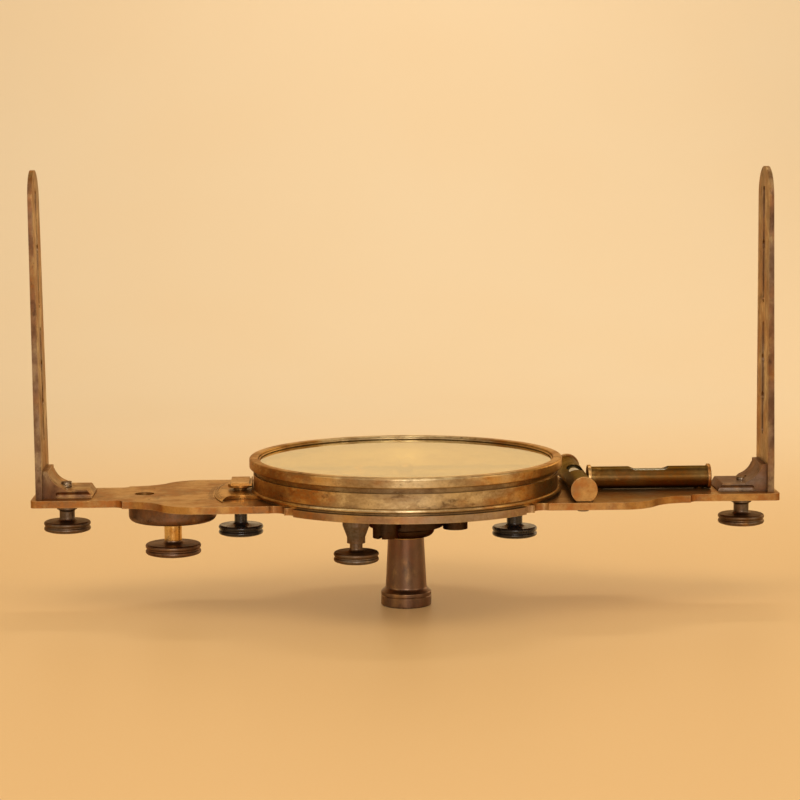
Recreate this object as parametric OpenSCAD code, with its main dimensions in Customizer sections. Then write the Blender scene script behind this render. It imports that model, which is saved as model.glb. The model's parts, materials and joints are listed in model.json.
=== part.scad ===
// Surveyor's vernier compass with plain sights, level vials and a tally dial.
// Origin: centre of the socket's mouth, on the table. +X along the plate to the levels,
// +Y away from the viewer, +Z up. Millimetres.

/* [Main plate] */
// Overall length of the plate
plate_l = 373.4; // [360:0.2:390]
// Thickness of the plate
plate_t = 3.6; // [3.2:0.1:5]
// Radius of the round middle of the plate
plate_disc_r = 78.8; // [78:0.1:82]
// Half width of the narrow ends that carry the sights
arm_half_w = 20.8; // [19:0.1:23]
// Half width of the wide shoulders beside the box
shoulder_half_w = 44; // [42:0.1:48]
// Half width at the outer end of the ogee curve
cusp_half_w = 25; // [24:0.1:30]
// Distance from the centre to the small cusp
cusp_x = 140.9; // [138:0.1:146]
// Length of the straight land between the cusp and the ogee
cusp_land = 2; // [0.5:0.1:4]
// Length of the ogee curve along the plate
ogee_run = 34; // [28:0.5:40]
// Rounding of the plate's end corners
plate_corner_r = 2.5; // [0.5:0.1:3]
// Radius of the scoop where an arm meets the round middle
corner_scoop_r = 5.2; // [4.4:0.1:5.6]
// Radius of the smaller scoop beside it
scoop_r = 3.4; // [2.6:0.1:4]

/* [Socket] */
// Radius of the bore that drops on the staff head
socket_bore_r = 7.9; // [7:0.05:8.4]
// Depth of the bore
socket_bore_depth = 34; // [25:0.5:36]
// Height of the socket tube below its head
socket_neck_h = 35.4; // [34:0.2:44]
// Outer radius of the tube at its top
socket_top_r = 9.1; // [8.8:0.1:11]
// Outer radius of the tube above its foot ring
socket_low_r = 10.4; // [9.8:0.05:11.5]
// Radius of the foot ring
socket_foot_r = 12.8; // [12:0.1:15]
// Height of the foot ring's straight part
socket_foot_h = 7.6; // [4:0.1:9]
// Height of the sloping step above the foot ring
socket_cove_h = 1.6; // [1.2:0.1:4]
// Radius of the threaded spigot on top of the tube
socket_spigot_r = 8.2; // [7:0.1:9]
// Length of the threaded spigot
socket_spigot_h = 5.5; // [3:0.1:8]

/* [Socket head] */
// Radius of the drum under the plate
head_r = 18.8; // [17:0.1:20]
// Height of the head from the tube to the plate
head_h = 19.2; // [17:0.1:22]
// Height of the flared lower part
bell_h = 4; // [3:0.1:6]
// Radius of the flared part below the drum
bell_r = 14.6; // [14:0.1:16]
// Wall of the drum round its cavity
head_wall = 3.3; // [2:0.1:3.6]
// Depth of the cavity that holds the retaining disc
head_cavity_h = 5.2; // [4.6:0.1:8]
// Radius of each ear and of the screw head below it
ear_r = 6.3; // [5:0.1:7]
// Distance of the ears from the centre
ear_pitch_r = 25.2; // [24:0.1:28]
// Height of the ears
ear_h = 12.1; // [10:0.1:14.5]
// Direction of the first ear
ear_angle = 4; // [0:1:20]
// Height of the large screw heads
ear_screw_head_h = 4; // [3:0.1:6]
// Radius of the ear screws' shanks
ear_screw_r = 2.4; // [1.5:0.1:3]

/* [Outkeeper] */
// Gap between the clamp screw's stem and the outkeeper
outkeeper_gap = 8.9; // [4:0.05:12]
// Outer radius of its housing
outkeeper_r = 22.1; // [20:0.1:23]
// Height of its housing
outkeeper_h = 9.9; // [9:0.1:14]
// Wall and floor of its housing
outkeeper_wall = 2.3; // [1.8:0.1:3]
// Rounding of the housing's lower edge
outkeeper_edge_r = 3; // [1:0.1:4]
// Radius of the number window in the plate
window_r = 5; // [3:0.05:5.4]
// Distance of the window from the dial's centre
window_offset = 14.1; // [13:0.1:16]
// Thickness of the number dial
tally_dial_t = 1.8; // [1:0.1:2.5]
// Radius of the turning stem
tally_stem_r = 4.4; // [3.5:0.1:5]
// Length of the stem below the housing
tally_stem_l = 11.5; // [9:0.1:15]
// Radius of the knob
tally_knob_r = 14; // [11:0.1:15]
// Height of the knob
tally_knob_h = 6.8; // [4.5:0.1:8]
// Radius of the screw that holds the knob
tally_screw_r = 2.85; // [2:0.05:3.5]

/* [Compass box] */
// Gap between the plate and the box that turns on it
box_gap = 0.1; // [0.05:0.05:0.3]
// How far the box turns each way for magnetic variation, in degrees
box_swing = 10; // [5:1:12]
// How far the plate's round edge stands outside the box's base
box_step = 0.8; // [0.4:0.1:2]
// Thickness of the base
base_t = 3; // [2.4:0.1:4]
// How far the wall stands back from the base's edge
wall_step = 1.2; // [0.8:0.1:2]
// Thickness of the wall
wall_t = 3.8; // [3.4:0.1:4.4]
// Height of the wall up to the groove
wall_h = 7.3; // [5:0.1:10]
// Height of the groove under the bezel
groove_h = 2.7; // [1.5:0.1:4]
// Depth of the groove
groove_depth = 1.2; // [0.5:0.1:1.6]
// How far the bezel stands outside the wall
bezel_overhang = 2; // [1:0.1:3]
// Width of the bezel, seen from above
bezel_w = 4.5; // [4.2:0.1:5]
// Height of the bezel
bezel_h = 5.1; // [4:0.1:7]
// Height by which the wall stands inside the bezel
bezel_rebate_h = 1.5; // [0.5:0.1:1.8]
// Thickness of the glass
glass_t = 1.8; // [1.2:0.1:2.4]
// Radius of the wire of the ring that holds the glass
glass_wire_r = 0.45; // [0.3:0.05:0.6]
// Radius of the base's boss, the pivot of the box
boss_r = 10; // [8:0.1:11]
// Radius of the disc that keeps the box down
retainer_r = 14.5; // [13:0.1:15]
// Thickness of that disc
retainer_t = 2.5; // [1.5:0.1:3]

/* [Vernier tongue and clamp] */
// Thickness of the tongue
tongue_t = 1.8; // [1.2:0.1:2.4]
// How far the tongue reaches beyond the base
tongue_l = 18.7; // [16:0.1:25]
// Width of the bevel along the tongue's outer edge
tongue_bevel_w = 4; // [2:0.1:6]
// Half of the angle that the tongue covers
tongue_half_angle = 19.3; // [17:0.1:26]
// Radius of the hollows in the tongue's sides
tongue_scoop_r = 10; // [9:0.1:13]
// Distance of the clamp screw outside the base's edge
clamp_offset = 5.4; // [4.4:0.1:8]
// Radius of the clamp screw's thread
clamp_thread_r = 2; // [1.5:0.1:2.5]
// Radius of the clamp screw's stem
clamp_stem_r = 3.25; // [2.8:0.05:4]
// Length of the clamp screw's stem
clamp_stem_l = 12.1; // [9:0.1:15]
// Radius of the clamp washer
clamp_washer_r = 6.3; // [5:0.1:6.4]
// Thickness of the clamp washer
clamp_washer_t = 1.8; // [0.8:0.1:2.4]
// Length of the clamp block along the plate
clamp_block_l = 10.7; // [8:0.1:11]
// Width of the clamp block
clamp_block_w = 20; // [9:0.1:22]
// Height of the clamp block
clamp_block_h = 1.8; // [1.6:0.1:5]

/* [Rack and pinion] */
// Module of the teeth
gear_module = 0.8; // [0.7:0.01:0.82]
// Teeth of a full circle of the rack
rack_circle_teeth = 126; // [124:1:128]
// Teeth cut on the rack
rack_teeth = 10; // [10:2:14]
// Teeth of the pinion
pinion_teeth = 12; // [11:1:14]
// Thickness of the rack
rack_t = 1.9; // [1.2:0.1:2]
// Width of the rack behind its teeth
rack_w = 5; // [4:0.1:7]
// Depth of the pocket for the rack in the plate
pocket_depth = 2.4; // [2.2:0.1:2.6]
// Radius of the pinion's arbor
arbor_r = 2; // [1.5:0.1:2.2]
// Outer radius of the bushing under the plate
pinion_bushing_r = 4.6; // [4:0.1:6]
// Length of the bushing under the plate
pinion_bushing_l = 9.3; // [6:0.1:10]
// Radius of the pinion knob's stem
pinion_stem_r = 4; // [3:0.1:4.5]
// Length of the stem between bushing and knob
pinion_stem_l = 5.2; // [2:0.1:7]

/* [Thumbscrew heads] */
// Radius of the vane screws' heads
vane_knob_r = 11.7; // [10:0.1:13]
// Radius of the vernier clamp screw's head
clamp_knob_r = 11.3; // [10:0.1:13]
// Radius of the pinion's head
pinion_knob_r = 11.4; // [10:0.1:13]
// Radius of the needle lifter's head
lifter_knob_r = 11; // [9:0.1:13]
// Height of these heads
knob_h = 6.2; // [5:0.1:8]

/* [Dial, needle and lifter] */
// Height of the space for the lever under the dial face
lever_space = 2.7; // [2.6:0.1:4]
// Thickness of the dial face
dial_t = 0.8; // [0.6:0.1:1.2]
// Height of the raised degree ring
degree_ring_h = 4.6; // [4:0.1:5]
// Width of the degree ring
degree_ring_w = 8.6; // [7:0.1:10]
// Gap between the needle's tips and the degree ring
needle_tip_gap = 1.1; // [0.6:0.1:2]
// Width of the needle at its middle
needle_w = 1.8; // [1.4:0.1:3]
// Depth of the needle
needle_depth = 1.8; // [1.4:0.1:2.2]
// Radius of the needle's hub
hub_r = 4.2; // [3.8:0.1:6]
// Radius of the centre pin
pin_r = 1.2; // [0.8:0.05:1.3]
// Distance of the lifter screw from the wall
lifter_inset = 16.6; // [15:0.1:20]
// Direction of the lifter screw
lifter_angle = 242.5; // [236:0.5:250]
// Distance of the lever's hinge from the wall
lever_hinge_inset = 9; // [8.6:0.1:10.4]
// Thickness of the lever
lever_t = 0.8; // [0.5:0.1:1]
// Width of the lever
lever_w = 5; // [4.4:0.1:6]
// Largest radius of the cone under the plate
lifter_cone_r = 6.6; // [5.5:0.1:8]
// Height of the cone and its collar under the plate
lifter_cone_h = 13.7; // [9:0.1:15]
// Radius of the lifter screw's thread
lifter_thread_r = 2; // [1.5:0.1:2.4]
// Radius of the lifter screw's stem
lifter_stem_r = 3.1; // [2.6:0.1:4]
// Length of the lifter screw's stem
lifter_stem_l = 3.9; // [3:0.1:7]

/* [Levels] */
// Outer radius of the level tubes
level_tube_r = 5.65; // [5:0.05:5.9]
// Wall of the level tubes
level_wall = 0.65; // [0.4:0.05:0.8]
// Height of the tubes above the plate
level_lift = 0.15; // [0.1:0.05:1.5]
// Radius of the end caps
level_cap_r = 6.6; // [6:0.1:6.8]
// Thickness of the end caps
level_cap_t = 1.75; // [1:0.05:2.5]
// Gap between the long level and the foot of the right vane
long_level_end_gap = 2.3; // [1:0.1:5]
// How far each end of the cross level lies inside the shoulders
cross_level_inset = 2.5; // [1:0.1:6]
// Length of the windows
level_window_l = 20.7; // [14:0.1:26]
// Width of the windows
level_window_w = 7.8; // [5:0.1:8.6]
// Radius of the glass vials
vial_r = 4.6; // [4:0.05:4.7]
// Gap between the base's edge and the cross level
cross_level_gap = 2.3; // [0.5:0.05:3]
// Gap between the two levels
level_gap = 0.45; // [0.3:0.05:2]

/* [Sight vanes] */
// Distance from the plate's end to a vane's outer face
vane_inset = 2.2; // [1:0.1:4]
// Height of the vanes above the plate
vane_h = 162.6; // [150:0.2:175]
// Width of the leaf at its foot
vane_low_w = 31.5; // [28:0.1:34]
// Width of the leaf at its top
vane_top_w = 29.5; // [26:0.1:32]
// Thickness of the leaf at its foot
vane_low_t = 3.3; // [3:0.1:4.5]
// Thickness of the leaf at its top
vane_top_t = 2.2; // [1.6:0.1:3]
// How far the left leaf's outer face leans in at the top
left_lean = -0.9; // [-1.2:0.1:2]
// How far the right leaf's outer face leans in at the top
right_lean = 1.9; // [-1.2:0.1:2]
// Width of the sighting slits
slit_w = 4.6; // [1:0.1:5]
// Bottom of the lower slit above the plate
slit_low_z = 27.4; // [22:0.1:32]
// Length of the lower slit
slit_low_l = 57.4; // [50:0.1:60]
// Length of the solid bridge between the slits
slit_bridge = 9.3; // [6:0.1:12]
// Length of the upper slit
slit_top_l = 58.7; // [50:0.1:60]
// Radius of the round sighting holes on the slits
sight_hole_r = 3.3; // [2:0.1:4]
// Length of the foot along the plate, from the leaf's outer face
foot_l = 27.7; // [26:0.1:34]
// Width of the foot
foot_w = 26; // [22:0.1:30]
// Thickness of the foot
foot_t = 4; // [3:0.1:5]
// Height of the bracket above the plate
bracket_h = 13.6; // [11:0.1:16]
// Thickness of the bracket's top lip
bracket_lip = 2.8; // [1.5:0.1:4]
// Radius of the bracket's hollow
bracket_r = 10; // [9:0.1:14]
// Distance of the vane screw from the leaf's outer face
vane_screw_offset = 13.8; // [13:0.1:18]
// Radius of the vane screws' threads
vane_thread_r = 2.6; // [2:0.05:3]
// Radius of the vane screws' stems
vane_stem_r = 3.8; // [3.2:0.1:4.5]
// Length of the vane screws' stems with their collars
vane_stem_l = 9.4; // [7:0.1:12]
// Radius of the collar against the plate
vane_collar_r = 5.1; // [4.6:0.1:6]
// How far the left vane screw stands above its foot
left_screw_end = 2.7; // [0.5:0.1:3]
// How far the right vane screw stands above its foot
right_screw_end = 1.5; // [0.5:0.1:3]

/* [Small fasteners and fits] */
// Radius of the small screws' shanks
small_screw_r = 0.8; // [0.6:0.05:1]
// Radius of the small screws' heads
small_head_r = 1.5; // [1.2:0.05:1.8]
// Height of the small screws' heads
small_head_h = 0.8; // [0.5:0.05:1]
// Radius of the steady pins under the vanes
steady_pin_r = 1; // [0.8:0.05:1.5]
// Radius of the screws that hold the levels
level_screw_r = 1.2; // [0.8:0.05:1.6]
// Radial clearance of shafts and screws that turn
run_fit = 0.06; // [0.02:0.01:0.1]
// Radial clearance of pieces that don't move
seat_fit = 0.02; // [0.01:0.01:0.05]
// Gap under shoulders that turn or slide
face_gap = 0.05; // [0.02:0.01:0.1]

/* [Hidden] */
$fn = 72;
cut = 1;

// Heights, from the table up, and radii of the box
plate_z = socket_neck_h + head_h;
plate_top = plate_z + plate_t;
base_r = plate_disc_r - box_step;
wall_r = base_r - wall_step;
wall_in_r = wall_r - wall_t;
bezel_r = wall_r + bezel_overhang;
bezel_in_r = bezel_r - bezel_w;
base_z = plate_top + box_gap;
base_top = base_z + base_t;
groove_z = base_top + wall_h;
bezel_z = groove_z + groove_h;
wall_top = bezel_z + bezel_rebate_h;
bezel_top = bezel_z + bezel_h;
glass_top = wall_top + glass_t;
dial_z = base_top + lever_space;
dial_top = dial_z + dial_t;
needle_top = dial_top + degree_ring_h;
needle_z = needle_top - needle_depth;
rack_z = base_z - rack_t;
pocket_z = plate_top - pocket_depth;
head_floor = plate_z - head_cavity_h;
ear_z = plate_z - ear_h;

// Socket and plate
bell_step_h = 1.2;
ear_web_share = 1.7;
ear_web = ear_r * ear_web_share;
ear_web_drop = 0.5;
ear_root_x = head_r - head_wall / 2;
ear_screw_sink = 0.6;
ear_screw_end = plate_top - ear_screw_sink;
corner_x = sqrt(pow(plate_disc_r, 2) - pow(shoulder_half_w, 2));
corner_angle = asin(shoulder_half_w / plate_disc_r);
corner_scoop_x = 0.3;
corner_scoop_y = 4.2;
scoop_shift = 0.8;
scoop_step = 7.9;
cusp_r = cusp_half_w - arm_half_w;
ogee_out_x = cusp_x - cusp_land;
ogee_in_x = ogee_out_x - ogee_run;
ogee_half = ogee_run / 2;
ogee_rise = (shoulder_half_w - cusp_half_w) / 2;
ogee_r = (pow(ogee_half, 2) + pow(ogee_rise, 2)) / (2 * ogee_rise);
ogee_bend = asin(ogee_half / ogee_r);

// Box
base_neck_step = 1.4;
base_neck_r = base_r - base_neck_step;
base_neck_h = 0.8;
base_bead_r = (base_t - base_neck_h) / 2;
groove_r = wall_r - groove_depth;
bezel_edge_r = 1;
glass_fit = 0.1;
glass_r = bezel_in_r - glass_fit;
glass_wire_pitch = bezel_in_r - glass_wire_r - face_gap;
wall_screw_pitch = (wall_in_r + groove_r) / 2;
wall_screw_count = 6;
wall_screw_depth = 4;
boss_end = plate_z - face_gap;
retainer_z = boss_end - retainer_t;
retainer_screw_share = 0.6;
retainer_screw_pitch = boss_r * retainer_screw_share;
retainer_screw_depth = 4;
clamp_r = base_r + clamp_offset;
clamp_pad_wall = 1.5;
clamp_pad_r = clamp_thread_r + clamp_pad_wall;
clamp_pad_h = 0.05;
clamp_pad_top = base_top + clamp_pad_h;
clamp_washer_z = clamp_pad_top;
clamp_block_z = clamp_washer_z + clamp_washer_t;
clamp_block_gap = 0.5;
clamp_block_x = wall_r + clamp_block_gap;
tongue_r = base_r + tongue_l;
tongue_edge_t = 0.4;
tongue_slope = (tongue_t - tongue_edge_t) / tongue_bevel_w;
tongue_scoop_pitch = tongue_r - tongue_scoop_r;
tongue_scoop_angle = tongue_half_angle + 1;

// Teeth
pressure_angle = 20;
rack_pitch_r = gear_module * rack_circle_teeth / 2;
pinion_pitch_r = gear_module * pinion_teeth / 2;
pinion_x = rack_pitch_r + pinion_pitch_r;
tooth_thinning = 0.05;
rack_addendum = 0.68 * gear_module;
rack_dedendum = 1.2 * gear_module;
pinion_addendum = 0.92 * gear_module;
pinion_dedendum = 0.96 * gear_module;
rack_root_r = rack_pitch_r - rack_dedendum;
rack_in_r = rack_root_r - rack_w;
rack_half_angle = 180 * rack_teeth / rack_circle_teeth;
pocket_spare_angle = 1;
pocket_half_angle = rack_half_angle + box_swing + pocket_spare_angle;
pinion_tip_r = pinion_pitch_r + pinion_addendum;
pinion_z = rack_z;
pinion_side_gap = 0.2;
pinion_t = rack_t - pinion_side_gap;
pinion_bushing_z = plate_z - pinion_bushing_l;
pinion_knob_top = pinion_bushing_z - face_gap - pinion_stem_l;
arbor_end = pinion_knob_top - knob_h / 2;
rack_screw_share = 0.6;
rack_screw_angle = rack_half_angle * rack_screw_share;
rack_screw_pitch = rack_in_r + rack_w / 2;

// Dial, needle and lifter
degree_ring_fit = 0.1;
degree_ring_r = wall_in_r - degree_ring_fit;
degree_ring_in_r = degree_ring_r - degree_ring_w;
needle_half_l = degree_ring_in_r - needle_tip_gap;
lever_hinge_r = wall_in_r - lever_hinge_inset;
lifter_r = wall_in_r - lifter_inset;
rib_gap = 3;
rib_in_r = lever_hinge_r + rib_gap;
hub_drop = 0.6;
cap_flange_h = 1.2;
cap_seat_w = 0.6;
cap_flange_r = hub_r - cap_seat_w;
cap_body_r = 2.3;
cap_bore_gap = 0.3;
cap_bore_r = pin_r + cap_bore_gap;
cap_roof = 0.7;
jewel_t = 0.35;
pin_tip_gap = 0.03;
pin_tip_z = needle_top + cap_flange_h - cap_roof - jewel_t - pin_tip_gap;
pin_cone_h = 1;
pin_root_r = 1.8;
pin_root_depth = 3;
pin_root_z = base_z - pin_root_depth;
lever_clear = 0.2;
lever_z = base_top + lever_clear;
lever_pin_h = 0.9;
lever_pin_z = base_top + lever_pin_h;
lever_pin_r = 0.5;
lever_barrel_r = 0.8;
lever_eye_r = 3.6;
lug_w = 2.4;
lug_l = 1.9;
lug_h = 1.8;
collar_clear = 0.3;
collar_z = lever_z + lever_t + collar_clear;
collar_r = 2.4;
collar_flange_r = 4;
collar_flange_h = 0.8;
collar_top_gap = 0.4;
collar_top = needle_z - hub_drop - collar_top_gap;
lifter_shank_r = 4;
lifter_spigot_r = 3;
lifter_spigot_h = base_t / 2;
lifter_bushing_z = plate_z - lifter_cone_h;
lifter_cone_wall = 2.45;
lifter_cone_low_r = lifter_thread_r + lifter_cone_wall;
lifter_knob_top = lifter_bushing_z - face_gap - lifter_stem_l;
slot_clear = 0.15;
weight_x = 24;
weight_l = 3;

// Outkeeper
outkeeper_x = clamp_r + clamp_stem_r + outkeeper_gap + outkeeper_r;
outkeeper_z = plate_z - outkeeper_h;
outkeeper_in_r = outkeeper_r - outkeeper_wall;
outkeeper_floor = outkeeper_z + outkeeper_wall;
tally_dial_gap = 0.3;
tally_dial_r = outkeeper_in_r - tally_dial_gap;
tally_dial_sink = 0.4;
tally_dial_top = plate_z - tally_dial_sink;
tally_dial_z = tally_dial_top - tally_dial_t;
tally_hub_step = 2.6;
tally_hub_r = tally_stem_r + tally_hub_step;
tally_spring_h = 0.9;
tally_shoulder_z = outkeeper_floor + tally_spring_h + face_gap;
tally_shoulder_h = 1.6;
tally_spigot_step = 1.4;
tally_spigot_r = tally_stem_r - tally_spigot_step;
tally_stem_z = outkeeper_z - tally_stem_l;
tally_knob_z = tally_stem_z - tally_knob_h;
tally_screw_ledge = 1.1;
tally_core_r = tally_screw_r - tally_screw_ledge;
tally_screw_l = 9;
tally_screw_head_h = 1.4;
tally_screw_stand = 0.9;
outkeeper_screw_pitch = (outkeeper_r + outkeeper_in_r) / 2;
outkeeper_screw_l = 7;

// Levels
level_z = plate_top + level_lift + level_tube_r;
level_in_r = level_tube_r - level_wall;
level_cap_gap = 0.25;
level_cap_flat_z = plate_top + level_cap_gap;
level_plug_l = 2;
cross_level_x = base_r + cross_level_gap + level_tube_r;
cross_level_l = 2 * (shoulder_half_w - cross_level_inset);
vane_x = plate_l / 2 - vane_inset;
long_level_x = cross_level_x + level_tube_r + level_gap;
long_level_l = vane_x - foot_l - long_level_end_gap - long_level_x;
long_level_mid = long_level_x + long_level_l / 2;
level_window_depth = sqrt(pow(level_tube_r, 2) - pow(level_window_w / 2, 2));
level_foot_r = 2.6;
level_screw_inset = 5.5;
level_screw_head_r = 2.8;
level_screw_head_h = 1.5;
vial_inset = 9;

// Sight vanes
vane_screw_x = vane_x - vane_screw_offset;
vane_top_z = plate_top + vane_h;
vane_top_r = vane_top_w / 2;
slit_low_end = slit_low_z + slit_low_l;
slit_top_z = slit_low_end + slit_bridge;
slit_top_end = slit_top_z + slit_top_l;
foot_top = plate_top + foot_t;
foot_bevel_l = 2.4;
foot_edge_h = 0.8;
foot_cove_r = 2;
foot_cove_depth = 0.7;
bracket_foot_x = 11;
foot_cove_l = foot_l - bracket_foot_x;
vane_fix_h = 3.8;
vane_fix_z = plate_top + foot_t + vane_fix_h;
vane_fix_y = foot_w / 4;
vane_fix_r = 1.3;
vane_fix_head_r = 2.4;
vane_fix_grip = 4;
vane_fix_l = vane_low_t + vane_fix_grip;
steady_pin_toe = 3.7;
steady_pin_x = vane_x - foot_l + steady_pin_toe;
steady_pin_edge = 5;
steady_pin_y = foot_w / 2 - steady_pin_edge;
steady_pin_floor = 0.8;
steady_pin_low = plate_z + steady_pin_floor;
steady_pin_roof = 1.4;
steady_pin_top = foot_top - steady_pin_roof;
vane_knob_top = plate_z - face_gap - vane_stem_l;
vane_collar_h = 3.6;

// Helpers

// Points of an arc, from angle a0 to a1
function arc(cx, cy, r, a0, a1, n = 8) =
    [for (i = [0:n]) let (a = a0 + (a1 - a0) * i / n) [cx + r * cos(a), cy + r * sin(a)]];

// Involute of an angle, in degrees
function involute(a) = tan(a) * 180 / PI - a;

// Half angle of a tooth at radius r, for a wheel of n teeth
function tooth_half_angle(n, r) =
    let (pitch_r = gear_module * n / 2,
         foot_r = pitch_r * cos(pressure_angle),
         slope = r > foot_r ? acos(foot_r / r) : 0)
    90 / n - tooth_thinning / pitch_r * 180 / PI + involute(pressure_angle) - involute(slope);

// Outline of one tooth that points along +X, from radius r0 to r1
function tooth(n, r0, r1, steps = 6) =
    let (radii = [for (i = [0:steps]) r0 + (r1 - r0) * i / steps])
    concat(
        [for (r = radii) let (a = tooth_half_angle(n, r)) [r * cos(a), -r * sin(a)]],
        [for (i = [steps:-1:0]) let (r = radii[i], a = tooth_half_angle(n, r))
            [r * cos(a), r * sin(a)]]);

module rod(r, z0, z1) {
    translate([0, 0, z0]) cylinder(r = r, h = z1 - z0);
}

module ring(r, bore_r, z0, z1) {
    difference() {
        rod(r, z0, z1);
        rod(bore_r, z0 - cut, z1 + cut);
    }
}

// Part of a ring, centred on the direction mid
module sector(r0, r1, half_angle, mid, z0, z1) {
    rotate([0, 0, mid - half_angle])
        rotate_extrude(angle = 2 * half_angle)
            translate([r0, z0]) square([r1 - r0, z1 - z0]);
}

// A curved slot with round ends, for something that swings about the centre
module swing_slot(r, half_w, half_angle, mid, z0, z1) {
    end = [r * cos(half_angle), r * sin(half_angle)];
    translate([0, 0, z0]) rotate([0, 0, mid]) linear_extrude(z1 - z0) polygon(concat(
        arc(0, 0, r + half_w, -half_angle, half_angle, 16),
        arc(end.x, end.y, half_w, half_angle, half_angle + 180, 10),
        arc(0, 0, r - half_w, half_angle, -half_angle, 16),
        arc(end.x, -end.y, half_w, -half_angle + 180, -half_angle + 360, 10)));
}

module on_side(side) {
    mirror([side < 0 ? 1 : 0, 0, 0]) children();
}

// Screw with its head at the low end and its shank upwards, slotted across the head
module screw_up(r, head_r, head_h, z0, z1) {
    difference() {
        union() {
            rod(head_r, z0, z0 + head_h);
            rod(r, z0, z1);
        }
        translate([-head_r - cut, -head_r * 0.14, z0 - cut])
            cube([2 * (head_r + cut), head_r * 0.28, cut + head_h * 0.4]);
    }
}

// Flat-headed screw that goes down from z1, with a slot across its head
module screw_down(r, head_r, head_h, z0, z1) {
    difference() {
        union() {
            rod(r, z0, z1);
            rod(head_r, z1 - head_h, z1);
        }
        translate([-head_r - cut, -head_r * 0.14, z1 - head_h * 0.4])
            cube([2 * (head_r + cut), head_r * 0.28, cut + head_h * 0.4]);
    }
}

// Milled head with two beads, a groove between them and a domed underside.
// The stem stands on it, from the head's top up to stem_top.
module thumb_head(r, top, h, stem_r, stem_top) {
    dome = h * 0.18;
    bead = (h - dome) / 4.4;
    low = top - h;
    bead_x = r - bead;
    low_bead_z = low + dome + bead;
    high_bead_z = low_bead_z + 2.2 * bead;
    rotate_extrude()
        polygon(concat(
            [[0, low], [r * 0.5, low + dome * 0.18], [r * 0.8, low + dome * 0.6]],
            arc(bead_x, low_bead_z, bead, -80, 62),
            arc(bead_x, high_bead_z, bead, -62, 80),
            [[bead_x - bead, top - bead * 0.35], [stem_r + 1.6, top]],
            arc(stem_r + 1.6, top + 1.6, 1.6, -90, -180, 5),
            [[stem_r, stem_top], [0, stem_top]]));
}

// Plate and socket

// One quarter of the arms' outline, from the shoulder out to the end of the plate
arm_edge = concat(
    arc(ogee_in_x, shoulder_half_w - ogee_r, ogee_r, 90, 90 - ogee_bend, 14),
    arc(ogee_out_x, cusp_half_w + ogee_r, ogee_r, 270 - ogee_bend, 270, 14),
    arc(cusp_x + cusp_r, cusp_half_w, cusp_r, 180, 270, 10),
    arc(plate_l / 2 - plate_corner_r, arm_half_w - plate_corner_r, plate_corner_r, 90, 0, 6));

module arms_outline() {
    back = [for (i = [len(arm_edge) - 1:-1:0]) arm_edge[i]];
    polygon(concat(
        arm_edge,
        [for (p = back) [p.x, -p.y]],
        [for (p = arm_edge) [-p.x, -p.y]],
        [for (p = back) [-p.x, p.y]]));
}

// The small cusped corner where an arm runs into the round middle
module corner_scoops() {
    translate([corner_x + corner_scoop_x, shoulder_half_w + corner_scoop_y])
        circle(r = corner_scoop_r);
    rotate(corner_angle + scoop_step)
        translate([plate_disc_r + scoop_shift, 0]) circle(r = scoop_r);
}

module plate_outline() {
    difference() {
        union() {
            circle(r = plate_disc_r, $fn = 180);
            arms_outline();
        }
        for (s = [0, 1], t = [0, 1]) mirror([s, 0]) mirror([0, t]) corner_scoops();
    }
}

module plate_hole(x, y, r) {
    translate([x, y, 0]) rod(r, plate_z - cut, plate_top + cut);
}

module main_plate() {
    color([0.69, 0.49, 0.27]) difference() {
        translate([0, 0, plate_z]) linear_extrude(plate_t) plate_outline();
        plate_hole(0, 0, boss_r + run_fit);
        swing_slot(clamp_r, clamp_thread_r + slot_clear, box_swing, 180,
                   plate_z - cut, plate_top + cut);
        swing_slot(lifter_r, lifter_shank_r + slot_clear, box_swing, lifter_angle,
                   plate_z - cut, plate_top + cut);
        sector(rack_in_r - 0.4, rack_pitch_r + rack_addendum + 0.5, pocket_half_angle, 0,
               pocket_z, plate_top + cut);
        translate([pinion_x, 0, 0]) rod(pinion_tip_r + 0.5, pocket_z, plate_top + cut);
        plate_hole(pinion_x, 0, arbor_r + run_fit);
        plate_hole(-outkeeper_x - window_offset, 0, window_r);
        outkeeper_fixings() plate_hole(0, 0, small_screw_r + seat_fit);
        outkeeper_fixings()
            rod(small_head_r + seat_fit, plate_top - small_head_h, plate_top + cut);
        for (s = [-1, 1]) {
            plate_hole(s * vane_screw_x, 0, vane_thread_r + run_fit);
            for (t = [-1, 1])
                translate([s * steady_pin_x, t * steady_pin_y, 0])
                    rod(steady_pin_r + run_fit, steady_pin_low - 0.1, plate_top + cut);
        }
        long_level_fixings() plate_hole(0, 0, level_screw_r + seat_fit);
        cross_level_fixings() plate_hole(0, 0, level_screw_r + seat_fit);
        head_fixings() rod(ear_screw_r + seat_fit, plate_z - cut, ear_screw_end);
    }
}

module socket() {
    edge = 0.5;
    line_z = socket_foot_h * 0.68;
    line_w = 0.6;
    line_depth = 0.35;
    color([0.36, 0.24, 0.13]) difference() {
        union() {
            rotate_extrude() polygon([
                [0, 0], [socket_foot_r - edge, 0], [socket_foot_r, edge],
                [socket_foot_r, line_z - line_w / 2],
                [socket_foot_r - line_depth, line_z],
                [socket_foot_r, line_z + line_w / 2],
                [socket_foot_r, socket_foot_h - edge],
                [socket_foot_r - edge, socket_foot_h],
                [socket_low_r + edge, socket_foot_h + socket_cove_h - edge],
                [socket_low_r, socket_foot_h + socket_cove_h + edge],
                [socket_top_r, socket_neck_h], [0, socket_neck_h]]);
            rod(socket_spigot_r, socket_neck_h - cut, socket_neck_h + socket_spigot_h);
        }
        rod(socket_bore_r, -cut, socket_bore_depth);
    }
}

module head_fixings() {
    for (i = [0:2])
        rotate([0, 0, ear_angle + i * 120]) translate([ear_pitch_r, 0, 0]) children();
}

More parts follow.
